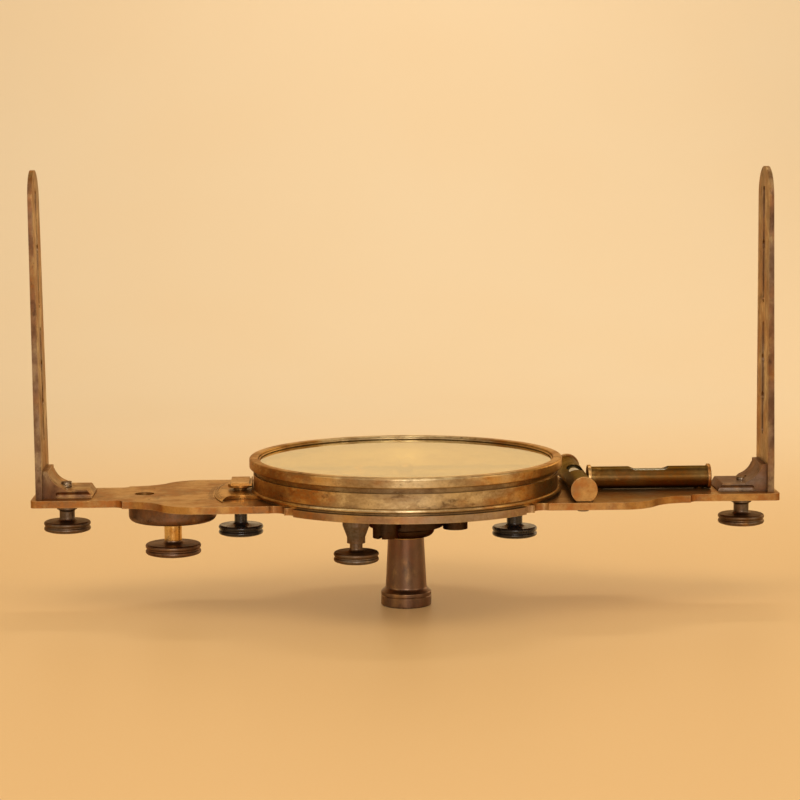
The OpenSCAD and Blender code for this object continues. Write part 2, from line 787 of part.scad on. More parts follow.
module socket_head() {
    color([0.38, 0.26, 0.15]) difference() {
        union() {
            rotate_extrude() polygon(concat(
                [[0, socket_neck_h], [socket_top_r, socket_neck_h]],
                arc(bell_r - bell_h, socket_neck_h + bell_h, bell_h, -90, 0, 6),
                [[head_r, socket_neck_h + bell_h + bell_step_h], [head_r, plate_z],
                 [0, plate_z]]));
            head_fixings() rod(ear_r, ear_z, plate_z);
            for (i = [0:2]) rotate([0, 0, ear_angle + i * 120])
                translate([ear_root_x, -ear_web / 2, ear_z])
                    cube([ear_pitch_r - ear_root_x, ear_web, ear_h - ear_web_drop]);
        }
        rod(socket_spigot_r + seat_fit, socket_neck_h - cut, plate_z);
        rod(head_r - head_wall, head_floor, plate_z + cut);
        head_fixings() rod(ear_screw_r + seat_fit, ear_z - cut, plate_z + cut);
    }
}

module socket_head_screws() {
    color([0.42, 0.29, 0.16]) head_fixings()
        screw_up(ear_screw_r, ear_r, ear_screw_head_h, ear_z - ear_screw_head_h,
                 ear_screw_end);
}

// Outkeeper, the tally dial under the left arm

module at_outkeeper() {
    translate([-outkeeper_x, 0, 0]) children();
}

module outkeeper_fixings() {
    at_outkeeper() for (i = [0:2])
        rotate([0, 0, i * 120]) translate([outkeeper_screw_pitch, 0, 0]) children();
}

module outkeeper_housing() {
    color([0.35, 0.22, 0.12]) difference() {
        at_outkeeper() rotate_extrude() difference() {
            polygon(concat(
                [[tally_stem_r + run_fit, outkeeper_z]],
                arc(outkeeper_r - outkeeper_edge_r, outkeeper_z + outkeeper_edge_r,
                    outkeeper_edge_r, -90, 0),
                [[outkeeper_r, plate_z], [tally_stem_r + run_fit, plate_z]]));
            translate([0, outkeeper_floor])
                square([outkeeper_in_r, outkeeper_h]);
        }
        outkeeper_fixings()
            rod(small_screw_r + seat_fit, plate_top - outkeeper_screw_l - 0.2, plate_z + cut);
    }
}

module outkeeper_housing_screws() {
    color([0.55, 0.40, 0.22]) outkeeper_fixings()
        screw_down(small_screw_r, small_head_r, small_head_h,
                   plate_top - outkeeper_screw_l, plate_top);
}

module outkeeper_spring() {
    color([0.60, 0.45, 0.22]) at_outkeeper()
        ring(tally_hub_r, tally_stem_r + 0.3, outkeeper_floor,
             outkeeper_floor + tally_spring_h);
}

module outkeeper_dial() {
    color([0.75, 0.70, 0.60]) at_outkeeper() difference() {
        union() {
            rod(tally_dial_r, tally_dial_z, tally_dial_top);
            rod(tally_hub_r, tally_shoulder_z + tally_shoulder_h, tally_dial_z + cut);
        }
        rod(tally_spigot_r + seat_fit, tally_shoulder_z, tally_dial_top + cut);
    }
}

module outkeeper_stem() {
    color([0.78, 0.60, 0.28]) at_outkeeper() difference() {
        union() {
            rod(tally_stem_r, tally_stem_z, tally_shoulder_z + tally_shoulder_h);
            rod(tally_hub_r, tally_shoulder_z, tally_shoulder_z + tally_shoulder_h);
            rod(tally_spigot_r, tally_shoulder_z, tally_dial_top - 0.1);
        }
        rod(tally_core_r + seat_fit, tally_stem_z - cut,
            tally_knob_z + tally_screw_l + 0.2);
    }
}

module outkeeper_knob() {
    color([0.40, 0.28, 0.16]) at_outkeeper() difference() {
        thumb_head(tally_knob_r, tally_stem_z, tally_knob_h, tally_stem_r, tally_stem_z);
        rod(tally_stem_r + seat_fit, tally_stem_z, tally_stem_z + 2);
        rod(tally_core_r + seat_fit, tally_knob_z - cut, tally_stem_z + cut);
        rod(tally_screw_r + seat_fit, tally_knob_z - cut,
            tally_knob_z - tally_screw_stand + tally_screw_head_h);
    }
}

module outkeeper_screw() {
    color([0.50, 0.36, 0.20]) at_outkeeper()
        screw_up(tally_core_r, tally_screw_r, tally_screw_head_h,
                 tally_knob_z - tally_screw_stand, tally_knob_z + tally_screw_l);
}

// Pinion that turns the box

module at_pinion() {
    translate([pinion_x, 0, 0]) children();
}

module pinion_bushing() {
    color([0.45, 0.30, 0.17]) at_pinion()
        ring(pinion_bushing_r, arbor_r + run_fit, pinion_bushing_z, plate_z);
}

module pinion() {
    root_r = pinion_pitch_r - pinion_dedendum;
    color([0.50, 0.50, 0.52]) at_pinion() {
        rod(root_r, pinion_z, pinion_z + pinion_t);
        rod(arbor_r, arbor_end, pinion_z + pinion_t);
        for (i = [0:pinion_teeth - 1])
            rotate([0, 0, 180 + i * 360 / pinion_teeth])
                translate([0, 0, pinion_z]) linear_extrude(pinion_t)
                    polygon(tooth(pinion_teeth, root_r - 0.3, pinion_tip_r));
    }
}

module pinion_knob() {
    color([0.10, 0.09, 0.09]) at_pinion() difference() {
        thumb_head(pinion_knob_r, pinion_knob_top, knob_h, pinion_stem_r,
                   pinion_bushing_z - face_gap);
        rod(arbor_r + seat_fit, arbor_end - 0.1, plate_z);
    }
}

// Levels

module long_level_fixings() {
    for (s = [-1, 1])
        translate([long_level_mid + s * (long_level_l / 2 - level_screw_inset), 0, 0])
            children();
}

module cross_level_fixings() {
    for (s = [-1, 1])
        translate([cross_level_x, s * (cross_level_l / 2 - level_screw_inset), 0])
            children();
}

// A level's pieces lie along +X, centred on the origin, at the axis height
module level_tube(l) {
    body_l = l - 2 * level_cap_t;
    difference() {
        union() {
            rotate([0, 90, 0]) cylinder(r = level_tube_r, h = body_l, center = true);
            for (s = [-1, 1])
                translate([s * (l / 2 - level_screw_inset), 0, 0])
                    rod(level_foot_r, -level_tube_r - level_lift, 0);
        }
        rotate([0, 90, 0]) cylinder(r = level_in_r, h = l, center = true);
        translate([0, 0, level_window_depth - 1.2]) linear_extrude(level_tube_r) hull()
            for (s = [-1, 1])
                translate([s * (level_window_l - level_window_w) / 2, 0])
                    circle(d = level_window_w);
        for (s = [-1, 1])
            translate([s * (l / 2 - level_screw_inset), 0, 0])
                rod(level_screw_r + seat_fit, -level_tube_r - level_lift - cut, 0);
    }
}

module level_caps(l) {
    intersection() {
        for (s = [-1, 1]) rotate([0, s * 90, 0]) {
            translate([0, 0, l / 2 - level_cap_t])
                cylinder(r = level_cap_r, h = level_cap_t);
            translate([0, 0, l / 2 - level_cap_t - level_plug_l])
                cylinder(r = level_in_r - seat_fit, h = level_plug_l + 0.5);
        }
        translate([-l, -l, level_cap_flat_z - level_z]) cube([2 * l, 2 * l, l]);
    }
}

module level_vial(l) {
    vial_l = l - 2 * vial_inset;
    rotate([0, 90, 0]) cylinder(r = vial_r, h = vial_l - 2 * vial_r, center = true);
    for (s = [-1, 1])
        translate([s * (vial_l / 2 - vial_r), 0, 0]) sphere(r = vial_r);
}

module level_screw() {
    screw_up(level_screw_r, level_screw_head_r, level_screw_head_h,
             plate_z - level_screw_head_h, level_z - level_in_r + 1.5);
}

module at_long_level() {
    translate([long_level_mid, 0, level_z]) children();
}

module at_cross_level() {
    translate([cross_level_x, 0, level_z]) rotate([0, 0, 90]) children();
}

module long_level_tube() {
    color([0.48, 0.38, 0.17]) at_long_level() level_tube(long_level_l);
}

module long_level_caps() {
    color([0.50, 0.38, 0.18]) at_long_level() level_caps(long_level_l);
}

module long_level_vial() {
    color([0.85, 0.85, 0.60, 0.5]) at_long_level() level_vial(long_level_l);
}

module long_level_screws() {
    color([0.45, 0.34, 0.18]) long_level_fixings() level_screw();
}

module cross_level_tube() {
    color([0.50, 0.38, 0.18]) at_cross_level() level_tube(cross_level_l);
}

module cross_level_caps() {
    color([0.66, 0.50, 0.26]) at_cross_level() level_caps(cross_level_l);
}

module cross_level_vial() {
    color([0.85, 0.85, 0.60, 0.5]) at_cross_level() level_vial(cross_level_l);
}

module cross_level_screws() {
    color([0.45, 0.34, 0.18]) cross_level_fixings() level_screw();
}

// Compass box

module tongue_outline() {
    reach = tongue_r * 1.2;
    difference() {
        intersection() {
            circle(r = tongue_r);
            polygon([[0, 0], [-reach, reach * tan(tongue_half_angle)],
                     [-reach, -reach * tan(tongue_half_angle)]]);
        }
        for (s = [-1, 1])
            rotate(180 + s * tongue_scoop_angle)
                translate([tongue_scoop_pitch, 0]) circle(r = tongue_scoop_r);
    }
}

module tongue() {
    intersection() {
        translate([0, 0, base_z]) linear_extrude(tongue_t) tongue_outline();
        rotate_extrude() polygon([
            [0, base_z - cut], [tongue_r + cut, base_z - cut],
            [tongue_r + cut, base_z + tongue_edge_t - tongue_slope * cut],
            [tongue_r - tongue_bevel_w - cut, base_z + tongue_t + tongue_slope * cut],
            [0, base_z + tongue_t + tongue_slope * cut]]);
    }
}

module at_clamp() {
    translate([-clamp_r, 0, 0]) children();
}

module at_lifter() {
    rotate([0, 0, lifter_angle]) translate([lifter_r, 0, 0]) children();
}

// The lever lies along +X here, from the centre to its hinge
module along_lever() {
    rotate([0, 0, lifter_angle]) children();
}

module wall_fixings() {
    for (i = [0:wall_screw_count - 1])
        rotate([0, 0, 30 + i * 360 / wall_screw_count])
            translate([wall_screw_pitch, 0, 0]) children();
}

module rack_fixings() {
    for (s = [-1, 1])
        rotate([0, 0, s * rack_screw_angle]) translate([rack_screw_pitch, 0, 0]) children();
}

module retainer_fixings() {
    for (i = [0:2])
        rotate([0, 0, 90 + i * 120]) translate([retainer_screw_pitch, 0, 0]) children();
}

module lever_lugs() {
    along_lever() for (s = [-1, 1])
        translate([lever_hinge_r - lug_l / 2, s > 0 ? lever_w / 2 + 0.1 : -lever_w / 2 - 0.1 - lug_w,
                   base_top - 0.5])
            cube([lug_l, lug_w, lug_h + 0.5]);
}

module lever_pin_shape(r, l) {
    along_lever() translate([lever_hinge_r, 0, lever_pin_z])
        rotate([90, 0, 0]) cylinder(r = r, h = l, center = true);
}

module box_base() {
    bead_x = base_r - base_bead_r;
    color([0.64, 0.44, 0.20]) difference() {
        union() {
            rotate_extrude() polygon(concat(
                [[0, base_z], [base_neck_r, base_z], [base_neck_r, base_z + base_neck_h]],
                arc(bead_x, base_z + base_neck_h + base_bead_r, base_bead_r, -70, 90),
                [[0, base_top]]));
            rod(boss_r, boss_end, base_z + cut);
            ring(degree_ring_r, rib_in_r, base_top - 0.5, dial_z);
            tongue();
            at_clamp() rod(clamp_pad_r, base_z, clamp_pad_top);
            lever_lugs();
        }
        at_clamp() rod(clamp_thread_r + run_fit, base_z - cut, clamp_pad_top + cut);
        at_lifter() rod(lifter_spigot_r + seat_fit, base_z - cut, base_z + lifter_spigot_h);
        at_lifter() rod(lifter_thread_r + run_fit, base_z, base_top + cut);
        rod(pin_root_r + seat_fit, pin_root_z, base_top + cut);
        lever_pin_shape(lever_pin_r + seat_fit, lever_w + 2 * lug_w + cut);
        wall_fixings() rod(small_screw_r + seat_fit, base_z - cut, base_top + cut);
        wall_fixings() rod(small_head_r + seat_fit, base_z - cut, base_z + small_head_h);
        rack_fixings() rod(small_screw_r + seat_fit, base_z - cut, base_z + base_t * 0.7);
        retainer_fixings()
            rod(small_screw_r + seat_fit, boss_end - cut,
                boss_end + retainer_screw_depth + 0.2);
    }
}

module box_wall() {
    color([0.60, 0.40, 0.18]) difference() {
        union() {
            rod(wall_r, base_top, groove_z);
            rod(groove_r, groove_z - cut, wall_top);
        }
        rod(wall_in_r, base_top - cut, wall_top + cut);
        wall_fixings()
            rod(small_screw_r + seat_fit, base_top - cut, base_top + wall_screw_depth + 0.2);
    }
}

module box_wall_screws() {
    color([0.55, 0.40, 0.22]) wall_fixings()
        screw_up(small_screw_r, small_head_r, small_head_h, base_z,
                 base_top + wall_screw_depth);
}

module bezel() {
    edge_x = bezel_r - bezel_edge_r;
    lip_r = groove_r + 0.05;
    color([0.66, 0.52, 0.25]) rotate_extrude() polygon(concat(
        [[lip_r, bezel_z], [bezel_r - 0.5, bezel_z], [bezel_r, bezel_z + 0.5]],
        arc(edge_x, bezel_top - bezel_edge_r, bezel_edge_r, 0, 90, 6),
        [[bezel_in_r + 0.4, bezel_top], [bezel_in_r, bezel_top - 0.4],
         [bezel_in_r, wall_top], [lip_r, wall_top]]));
}

module glass() {
    color([0.95, 0.93, 0.85, 0.35]) rod(glass_r, wall_top, glass_top);
}

module glass_ring() {
    color([0.70, 0.55, 0.28]) rotate_extrude()
        translate([glass_wire_pitch, glass_top + glass_wire_r]) circle(r = glass_wire_r, $fn = 24);
}

module dial_face() {
    color([0.80, 0.76, 0.66]) ring(degree_ring_r, collar_r + 0.5, dial_z, dial_top);
}

module degree_ring() {
    color([0.82, 0.78, 0.68]) ring(degree_ring_r, degree_ring_in_r, dial_top, needle_top);
}

module centre_pin() {
    color([0.60, 0.60, 0.62]) {
        rod(pin_root_r, pin_root_z, base_top);
        rod(pin_r, base_top - cut, pin_tip_z - pin_cone_h);
        translate([0, 0, pin_tip_z - pin_cone_h])
            cylinder(r1 = pin_r, r2 = 0.1, h = pin_cone_h);
    }
}

module rack() {
    tooth_pitch = 360 / rack_circle_teeth;
    color([0.62, 0.48, 0.24]) difference() {
        union() {
            sector(rack_in_r, rack_root_r, rack_half_angle, 0, rack_z, base_z);
            for (i = [0:rack_teeth - 1])
                rotate([0, 0, (i - (rack_teeth - 1) / 2) * tooth_pitch])
                    translate([0, 0, rack_z]) linear_extrude(rack_t)
                        polygon(tooth(rack_circle_teeth, rack_root_r - 0.3,
                                      rack_pitch_r + rack_addendum));
        }
        rack_fixings() rod(small_screw_r + seat_fit, rack_z - cut, base_z + cut);
        rack_fixings() rod(small_head_r + seat_fit, rack_z - cut, rack_z + small_head_h);
    }
}

module rack_screws() {
    color([0.55, 0.40, 0.22]) rack_fixings()
        screw_up(small_screw_r, small_head_r, small_head_h, rack_z,
                 base_z + base_t * 0.7 - 0.2);
}

module retaining_disc() {
    color([0.60, 0.45, 0.22]) difference() {
        rod(retainer_r, retainer_z, boss_end);
        retainer_fixings() rod(small_screw_r + seat_fit, retainer_z - cut, boss_end + cut);
    }
}

module retaining_screws() {
    color([0.55, 0.40, 0.22]) retainer_fixings()
        screw_up(small_screw_r, small_head_r, small_head_h, retainer_z - small_head_h,
                 boss_end + retainer_screw_depth);
}

// Vernier clamp

module clamp_washer() {
    color([0.66, 0.48, 0.26]) at_clamp()
        ring(clamp_washer_r, clamp_thread_r + run_fit, clamp_washer_z, clamp_block_z);
}

module clamp_block() {
    slot_w = 0.7;
    slot_l = 4.6;
    color([0.58, 0.40, 0.22]) difference() {
        translate([-clamp_block_x - clamp_block_l, -clamp_block_w / 2, clamp_block_z])
            cube([clamp_block_l, clamp_block_w, clamp_block_h]);
        at_clamp() rod(clamp_thread_r + run_fit, clamp_block_z - cut,
                       clamp_block_z + clamp_block_h - 0.8);
        translate([-clamp_r - slot_l / 2, -slot_w / 2, clamp_block_z + clamp_block_h - 0.5])
            cube([slot_l, slot_w, cut]);
        translate([-clamp_block_x - 1.4, -clamp_block_w / 2 - cut, clamp_block_z + clamp_block_h - 0.9])
            cube([0.7, clamp_block_w + 2 * cut, clamp_block_h]);
    }
}

module clamp_screw() {
    color([0.10, 0.09, 0.10]) at_clamp() {
        thumb_head(clamp_knob_r, plate_z - face_gap - clamp_stem_l, knob_h, clamp_stem_r,
                   plate_z - face_gap);
        rod(clamp_thread_r, plate_z - cut, clamp_block_z + clamp_block_h - 1);
    }
}

// Needle lifter

module lifter_bushing() {
    color([0.45, 0.31, 0.17]) at_lifter() difference() {
        union() {
            rotate_extrude() polygon([
                [0, lifter_bushing_z], [lifter_cone_low_r, lifter_bushing_z],
                [lifter_cone_low_r, lifter_bushing_z + lifter_cone_h * 0.21],
                [lifter_cone_r, plate_z - lifter_cone_h * 0.36],
                [lifter_cone_r, plate_z - box_gap], [0, plate_z - box_gap]]);
            rod(lifter_shank_r, plate_z - cut, base_z);
            rod(lifter_spigot_r, base_z - cut, base_z + lifter_spigot_h - 0.1);
        }
        rod(lifter_thread_r + run_fit, lifter_bushing_z - cut, base_top);
    }
}

module lifter_screw() {
    color([0.36, 0.25, 0.15]) at_lifter() {
        thumb_head(lifter_knob_r, lifter_knob_top, knob_h, lifter_stem_r,
                   lifter_bushing_z - face_gap);
        rod(lifter_thread_r, lifter_bushing_z - cut, lever_z - face_gap);
    }
}

module lifter_lever() {
    color([0.66, 0.50, 0.26]) difference() {
        union() {
            along_lever() translate([0, -lever_w / 2, lever_z])
                cube([lever_hinge_r, lever_w, lever_t]);
            rod(lever_eye_r, lever_z, lever_z + lever_t);
            lever_pin_shape(lever_barrel_r, lever_w);
        }
        rod(pin_r + 0.7, base_top, collar_z + cut);
        lever_pin_shape(lever_pin_r + run_fit, lever_w + cut);
    }
}

module lever_pin() {
    color([0.55, 0.55, 0.56]) lever_pin_shape(lever_pin_r, lever_w + 2 * lug_w);
}

module lifting_collar() {
    color([0.66, 0.50, 0.26]) difference() {
        union() {
            rod(collar_r, collar_z, collar_top);
            rod(collar_flange_r, collar_top - collar_flange_h, collar_top);
        }
        rod(pin_r + run_fit, collar_z - cut, collar_top + cut);
    }
}

// Needle

module needle() {
    tip_w = needle_w / 3;
    color([0.16, 0.19, 0.30]) difference() {
        union() {
            translate([0, 0, needle_z]) linear_extrude(needle_depth)
                polygon([[-needle_half_l, 0], [-needle_half_l + 2, -tip_w / 2],
                         [0, -needle_w / 2], [needle_half_l - 2, -tip_w / 2],
                         [needle_half_l, 0], [needle_half_l - 2, tip_w / 2],
                         [0, needle_w / 2], [-needle_half_l + 2, tip_w / 2]]);
            rod(hub_r, needle_z - hub_drop, needle_top);
        }
        rod(cap_body_r + seat_fit, needle_z - hub_drop - cut, needle_top + cut);
    }
}

module needle_cap() {
    color([0.76, 0.60, 0.30]) difference() {
        union() {
            rod(cap_body_r, needle_z - hub_drop, needle_top + cap_flange_h);
            translate([0, 0, needle_top])
                cylinder(r1 = cap_flange_r, r2 = cap_flange_r - 0.8, h = cap_flange_h);
        }
        rod(cap_bore_r, needle_z - hub_drop - cut, needle_top + cap_flange_h - cap_roof);
    }
}

module needle_jewel() {
    color([0.70, 0.20, 0.20])
        rod(cap_bore_r - seat_fit, needle_top + cap_flange_h - cap_roof - jewel_t,
            needle_top + cap_flange_h - cap_roof);
}

module needle_weight() {
    slot_w = needle_w + 2 * seat_fit;
    color([0.76, 0.60, 0.30]) translate([-weight_x - weight_l / 2, 0, needle_z + needle_depth / 2])
        difference() {
            rotate([0, 90, 0]) cylinder(r = needle_depth * 0.8, h = weight_l);
            translate([-cut, -slot_w / 2, -needle_depth / 2 - seat_fit])
                cube([weight_l + 2 * cut, slot_w, needle_depth + 2 * seat_fit]);
        }
}

// Sight vanes, drawn for the right end and mirrored for the left

// Side view of a leaf: upright beside the bracket, then leaning
module leaf_profile(lean) {
    back = vane_x - vane_low_t;
    bracket_top = plate_top + bracket_h;
    polygon([
        [back, plate_top], [vane_x, plate_top], [vane_x, bracket_top],
        [vane_x - lean, vane_top_z], [vane_x - lean - vane_top_t, vane_top_z],
        [back, bracket_top]]);
}

module leaf_outline() {
    shoulder_z = vane_top_z - vane_top_r;
    polygon([
        [-vane_low_w / 2, plate_top], [vane_low_w / 2, plate_top],
        [vane_top_r, shoulder_z], [-vane_top_r, shoulder_z]]);
    translate([0, shoulder_z]) circle(r = vane_top_r);
}

// A horizontal bar along X through the leaf
module through_leaf(r, y, z) {
    translate([vane_x - vane_low_t - 3, y, z]) rotate([0, 90, 0]) cylinder(r = r, h = vane_low_t + 6);
}

module slit(z0, z1) {
    w = slit_w / 2;
    through_leaf(w, 0, z0 + w);
    through_leaf(w, 0, z1 - w);
    translate([vane_x - vane_low_t - 3, -w, z0 + w]) cube([vane_low_t + 6, slit_w, z1 - z0 - slit_w]);
}

module vane_fixings() {
    for (s = [-1, 1])
        translate([vane_x, s * vane_fix_y, vane_fix_z]) rotate([0, -90, 0]) children();
}

module vane_leaf(lean) {
    difference() {
        intersection() {
            translate([0, vane_low_w, 0]) rotate([90, 0, 0])
                linear_extrude(2 * vane_low_w) leaf_profile(lean);
            translate([vane_x - 20, 0, 0]) rotate([90, 0, 90]) linear_extrude(40) leaf_outline();
        }
        slit(plate_top + slit_low_z, plate_top + slit_low_end);
        slit(plate_top + slit_top_z, plate_top + slit_top_end);
        for (f = [1/3, 2/3])
            through_leaf(sight_hole_r, 0, plate_top + slit_low_z + f * slit_low_l);
        through_leaf(sight_hole_r, 0, plate_top + slit_top_z + slit_top_l / 2);
        vane_fixings() rod(vane_fix_r + seat_fit, -cut, vane_low_t + cut);
        vane_fixings() rod(vane_fix_head_r + seat_fit, -cut, small_head_h + 0.2);
    }
}

// Side view of the foot and its bracket
module foot_profile() {
    back = vane_x - vane_low_t;
    toe = vane_x - foot_l;
    lip_x = back - bracket_lip;
    difference() {
        polygon([
            [back, plate_top], [toe, plate_top], [toe, plate_top + foot_edge_h],
            [toe + foot_bevel_l, foot_top], [back - bracket_foot_x, foot_top],
            [lip_x, plate_top + bracket_h - 1.8], [lip_x, plate_top + bracket_h],
            [back, plate_top + bracket_h]]);
        translate([lip_x - bracket_r * 0.98, foot_top + bracket_r + 0.9])
            circle(r = bracket_r);
    }
}

module vane_foot() {
    back = vane_x - vane_low_t;
    difference() {
        translate([0, foot_w / 2, 0]) rotate([90, 0, 0]) linear_extrude(foot_w) foot_profile();
        translate([vane_screw_x, 0, 0])
            rod(vane_thread_r + run_fit, plate_top - cut, foot_top + bracket_h);
        for (s = [-1, 1]) {
            translate([vane_x - foot_l - cut, s * (foot_w / 2 + foot_cove_r - foot_cove_depth),
                       plate_top + foot_t * 0.42]) {
                rotate([0, 90, 0]) cylinder(r = foot_cove_r, h = foot_cove_l + cut);
                translate([foot_cove_l + cut, 0, 0]) sphere(r = foot_cove_r);
            }
            translate([steady_pin_x, s * steady_pin_y, 0])
                rod(steady_pin_r + seat_fit, plate_top - cut, steady_pin_top + 0.1);
        }
        vane_fixings() rod(vane_fix_r + seat_fit, vane_low_t - cut, vane_fix_l + 0.1);
    }
}

module vane_foot_screws() {
    vane_fixings() difference() {
        union() {
            rod(vane_fix_head_r, 0, small_head_h + 0.2);
            rod(vane_fix_r, 0, vane_fix_l);
        }
        translate([-vane_fix_head_r - cut, -0.35, -cut])
            cube([2 * (vane_fix_head_r + cut), 0.7, cut + 0.5]);
    }
}

module steady_pins() {
    for (t = [-1, 1])
        translate([steady_pin_x, t * steady_pin_y, 0])
            rod(steady_pin_r, steady_pin_low, steady_pin_top);
}

module thumbscrew(end_h) {
    collar_z = plate_z - face_gap - vane_collar_h;
    cove = vane_collar_r - vane_stem_r;
    translate([vane_screw_x, 0, 0]) {
        thumb_head(vane_knob_r, vane_knob_top, knob_h, vane_stem_r, collar_z - cove);
        rotate_extrude() polygon(concat(
            [[0, collar_z - cove - cut], [vane_stem_r, collar_z - cove - cut]],
            arc(vane_collar_r, collar_z - cove, cove, 180, 90, 5),
            [[vane_collar_r, plate_z - face_gap], [0, plate_z - face_gap]]));
        rod(vane_thread_r, plate_z - cut, foot_top + end_h);
    }
}

module left_vane() { color([0.52, 0.36, 0.18]) on_side(-1) vane_leaf(left_lean); }
module left_vane_foot() { color([0.48, 0.30, 0.17]) on_side(-1) vane_foot(); }
module left_vane_screws() { color([0.50, 0.36, 0.20]) on_side(-1) vane_foot_screws(); }
module left_steady_pins() { color([0.60, 0.55, 0.48]) on_side(-1) steady_pins(); }
module left_thumbscrew() { color([0.30, 0.20, 0.12]) on_side(-1) thumbscrew(left_screw_end); }
module right_vane() { color([0.52, 0.36, 0.18]) on_side(1) vane_leaf(right_lean); }
module right_vane_foot() { color([0.48, 0.30, 0.17]) on_side(1) vane_foot(); }
module right_vane_screws() { color([0.50, 0.36, 0.20]) on_side(1) vane_foot_screws(); }
module right_steady_pins() { color([0.60, 0.55, 0.48]) on_side(1) steady_pins(); }
module right_thumbscrew() { color([0.30, 0.20, 0.12]) on_side(1) thumbscrew(right_screw_end); }

main_plate();
socket();
socket_head();
socket_head_screws();
outkeeper_housing();
outkeeper_housing_screws();
outkeeper_spring();
outkeeper_dial();
outkeeper_stem();
outkeeper_knob();
outkeeper_screw();
pinion_bushing();
pinion();
pinion_knob();
long_level_tube();
long_level_caps();
long_level_vial();
long_level_screws();
cross_level_tube();
cross_level_caps();
cross_level_vial();
cross_level_screws();
box_base();
box_wall();
box_wall_screws();
bezel();
glass();
glass_ring();
dial_face();
degree_ring();
centre_pin();
rack();
rack_screws();
retaining_disc();
retaining_screws();
clamp_washer();
clamp_block();
clamp_screw();
lifter_bushing();
lifter_screw();
lifter_lever();
lever_pin();
lifting_collar();
needle();
needle_cap();
needle_jewel();
needle_weight();
left_vane();
left_vane_foot();
left_vane_screws();
left_steady_pins();
left_thumbscrew();
right_vane();
right_vane_foot();
right_vane_screws();
right_steady_pins();
right_thumbscrew();
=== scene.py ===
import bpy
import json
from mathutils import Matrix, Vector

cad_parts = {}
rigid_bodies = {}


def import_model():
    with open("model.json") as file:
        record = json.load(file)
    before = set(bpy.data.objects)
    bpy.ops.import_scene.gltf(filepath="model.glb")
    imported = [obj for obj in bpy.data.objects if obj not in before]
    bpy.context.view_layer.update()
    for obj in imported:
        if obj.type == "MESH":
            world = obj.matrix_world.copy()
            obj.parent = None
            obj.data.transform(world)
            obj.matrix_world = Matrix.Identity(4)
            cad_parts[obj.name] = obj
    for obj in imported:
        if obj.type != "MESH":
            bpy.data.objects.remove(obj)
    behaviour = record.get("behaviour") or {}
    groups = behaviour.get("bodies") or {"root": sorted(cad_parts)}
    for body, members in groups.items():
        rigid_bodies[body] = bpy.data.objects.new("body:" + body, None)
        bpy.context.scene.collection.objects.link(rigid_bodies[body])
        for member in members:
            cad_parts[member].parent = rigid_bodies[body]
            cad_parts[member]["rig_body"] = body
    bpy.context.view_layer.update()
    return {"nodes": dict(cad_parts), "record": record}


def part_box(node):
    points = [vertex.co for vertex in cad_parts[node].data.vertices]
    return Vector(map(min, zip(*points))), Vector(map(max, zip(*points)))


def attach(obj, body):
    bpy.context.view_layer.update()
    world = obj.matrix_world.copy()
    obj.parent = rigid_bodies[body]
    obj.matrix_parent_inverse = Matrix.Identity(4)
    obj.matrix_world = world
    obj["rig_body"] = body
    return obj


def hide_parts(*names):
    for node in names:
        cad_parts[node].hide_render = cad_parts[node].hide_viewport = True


bl_info = {
    "name": "Surveyor's compass",
    "version": (1, 0, 0),
    "blender": (4, 5, 0),
    "location": "3D View > Sidebar > Compass",
    "description": "Dresses a packed surveyor's compass with its fine shapes and finishes",
    "category": "Object",
}

import json
from math import atan, cos, pi, radians, sin, sqrt

import bpy
from bpy.props import FloatProperty, FloatVectorProperty, PointerProperty
from bpy.types import Operator, Panel, PropertyGroup
from mathutils import Matrix, Vector

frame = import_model()
NODES = frame["nodes"]
SLOT_OF = {part["node"]: part["material_slot"] for part in frame["record"]["subparts"]}
MM = 0.001

WELD = 0.002 * MM  # points closer than this are one
LONG_LINE = 1.5  # length of every fifth line of a vernier, against the others
FIXED_LINES = 12  # lines on each side of the middle of the plate's scale, a degree apart
VERNIER_LINES = 15  # lines on each side of the middle of the moving vernier
VERNIER_STEP = 29 / 30  # degrees from one line of the moving vernier to the next
TALLY_COUNT = 17  # numbers on the tally dial, from 0
FONT_PER_HEIGHT = 1.38  # size of the letters' font for a capital of height 1


def size(name, text, default, low=0.0):
    """A length that a user can change, given in millimetres."""
    return FloatProperty(name=name, description=text, default=default * MM, min=low * MM,
                         precision=5, unit="LENGTH")


def watts(name, text, default):
    """The power of a light, in watts."""
    return FloatProperty(name=name, description=text, default=default, min=0, unit="POWER")


def tilt(name, text, default):
    """An angle, given in degrees."""
    return FloatProperty(name=name, description=text, default=radians(default), subtype="ANGLE")


def tint(name, text, default):
    """A colour that a user can change."""
    return FloatVectorProperty(name=name, description=text, default=default, size=3,
                               min=0.0, max=1.0, subtype="COLOR")


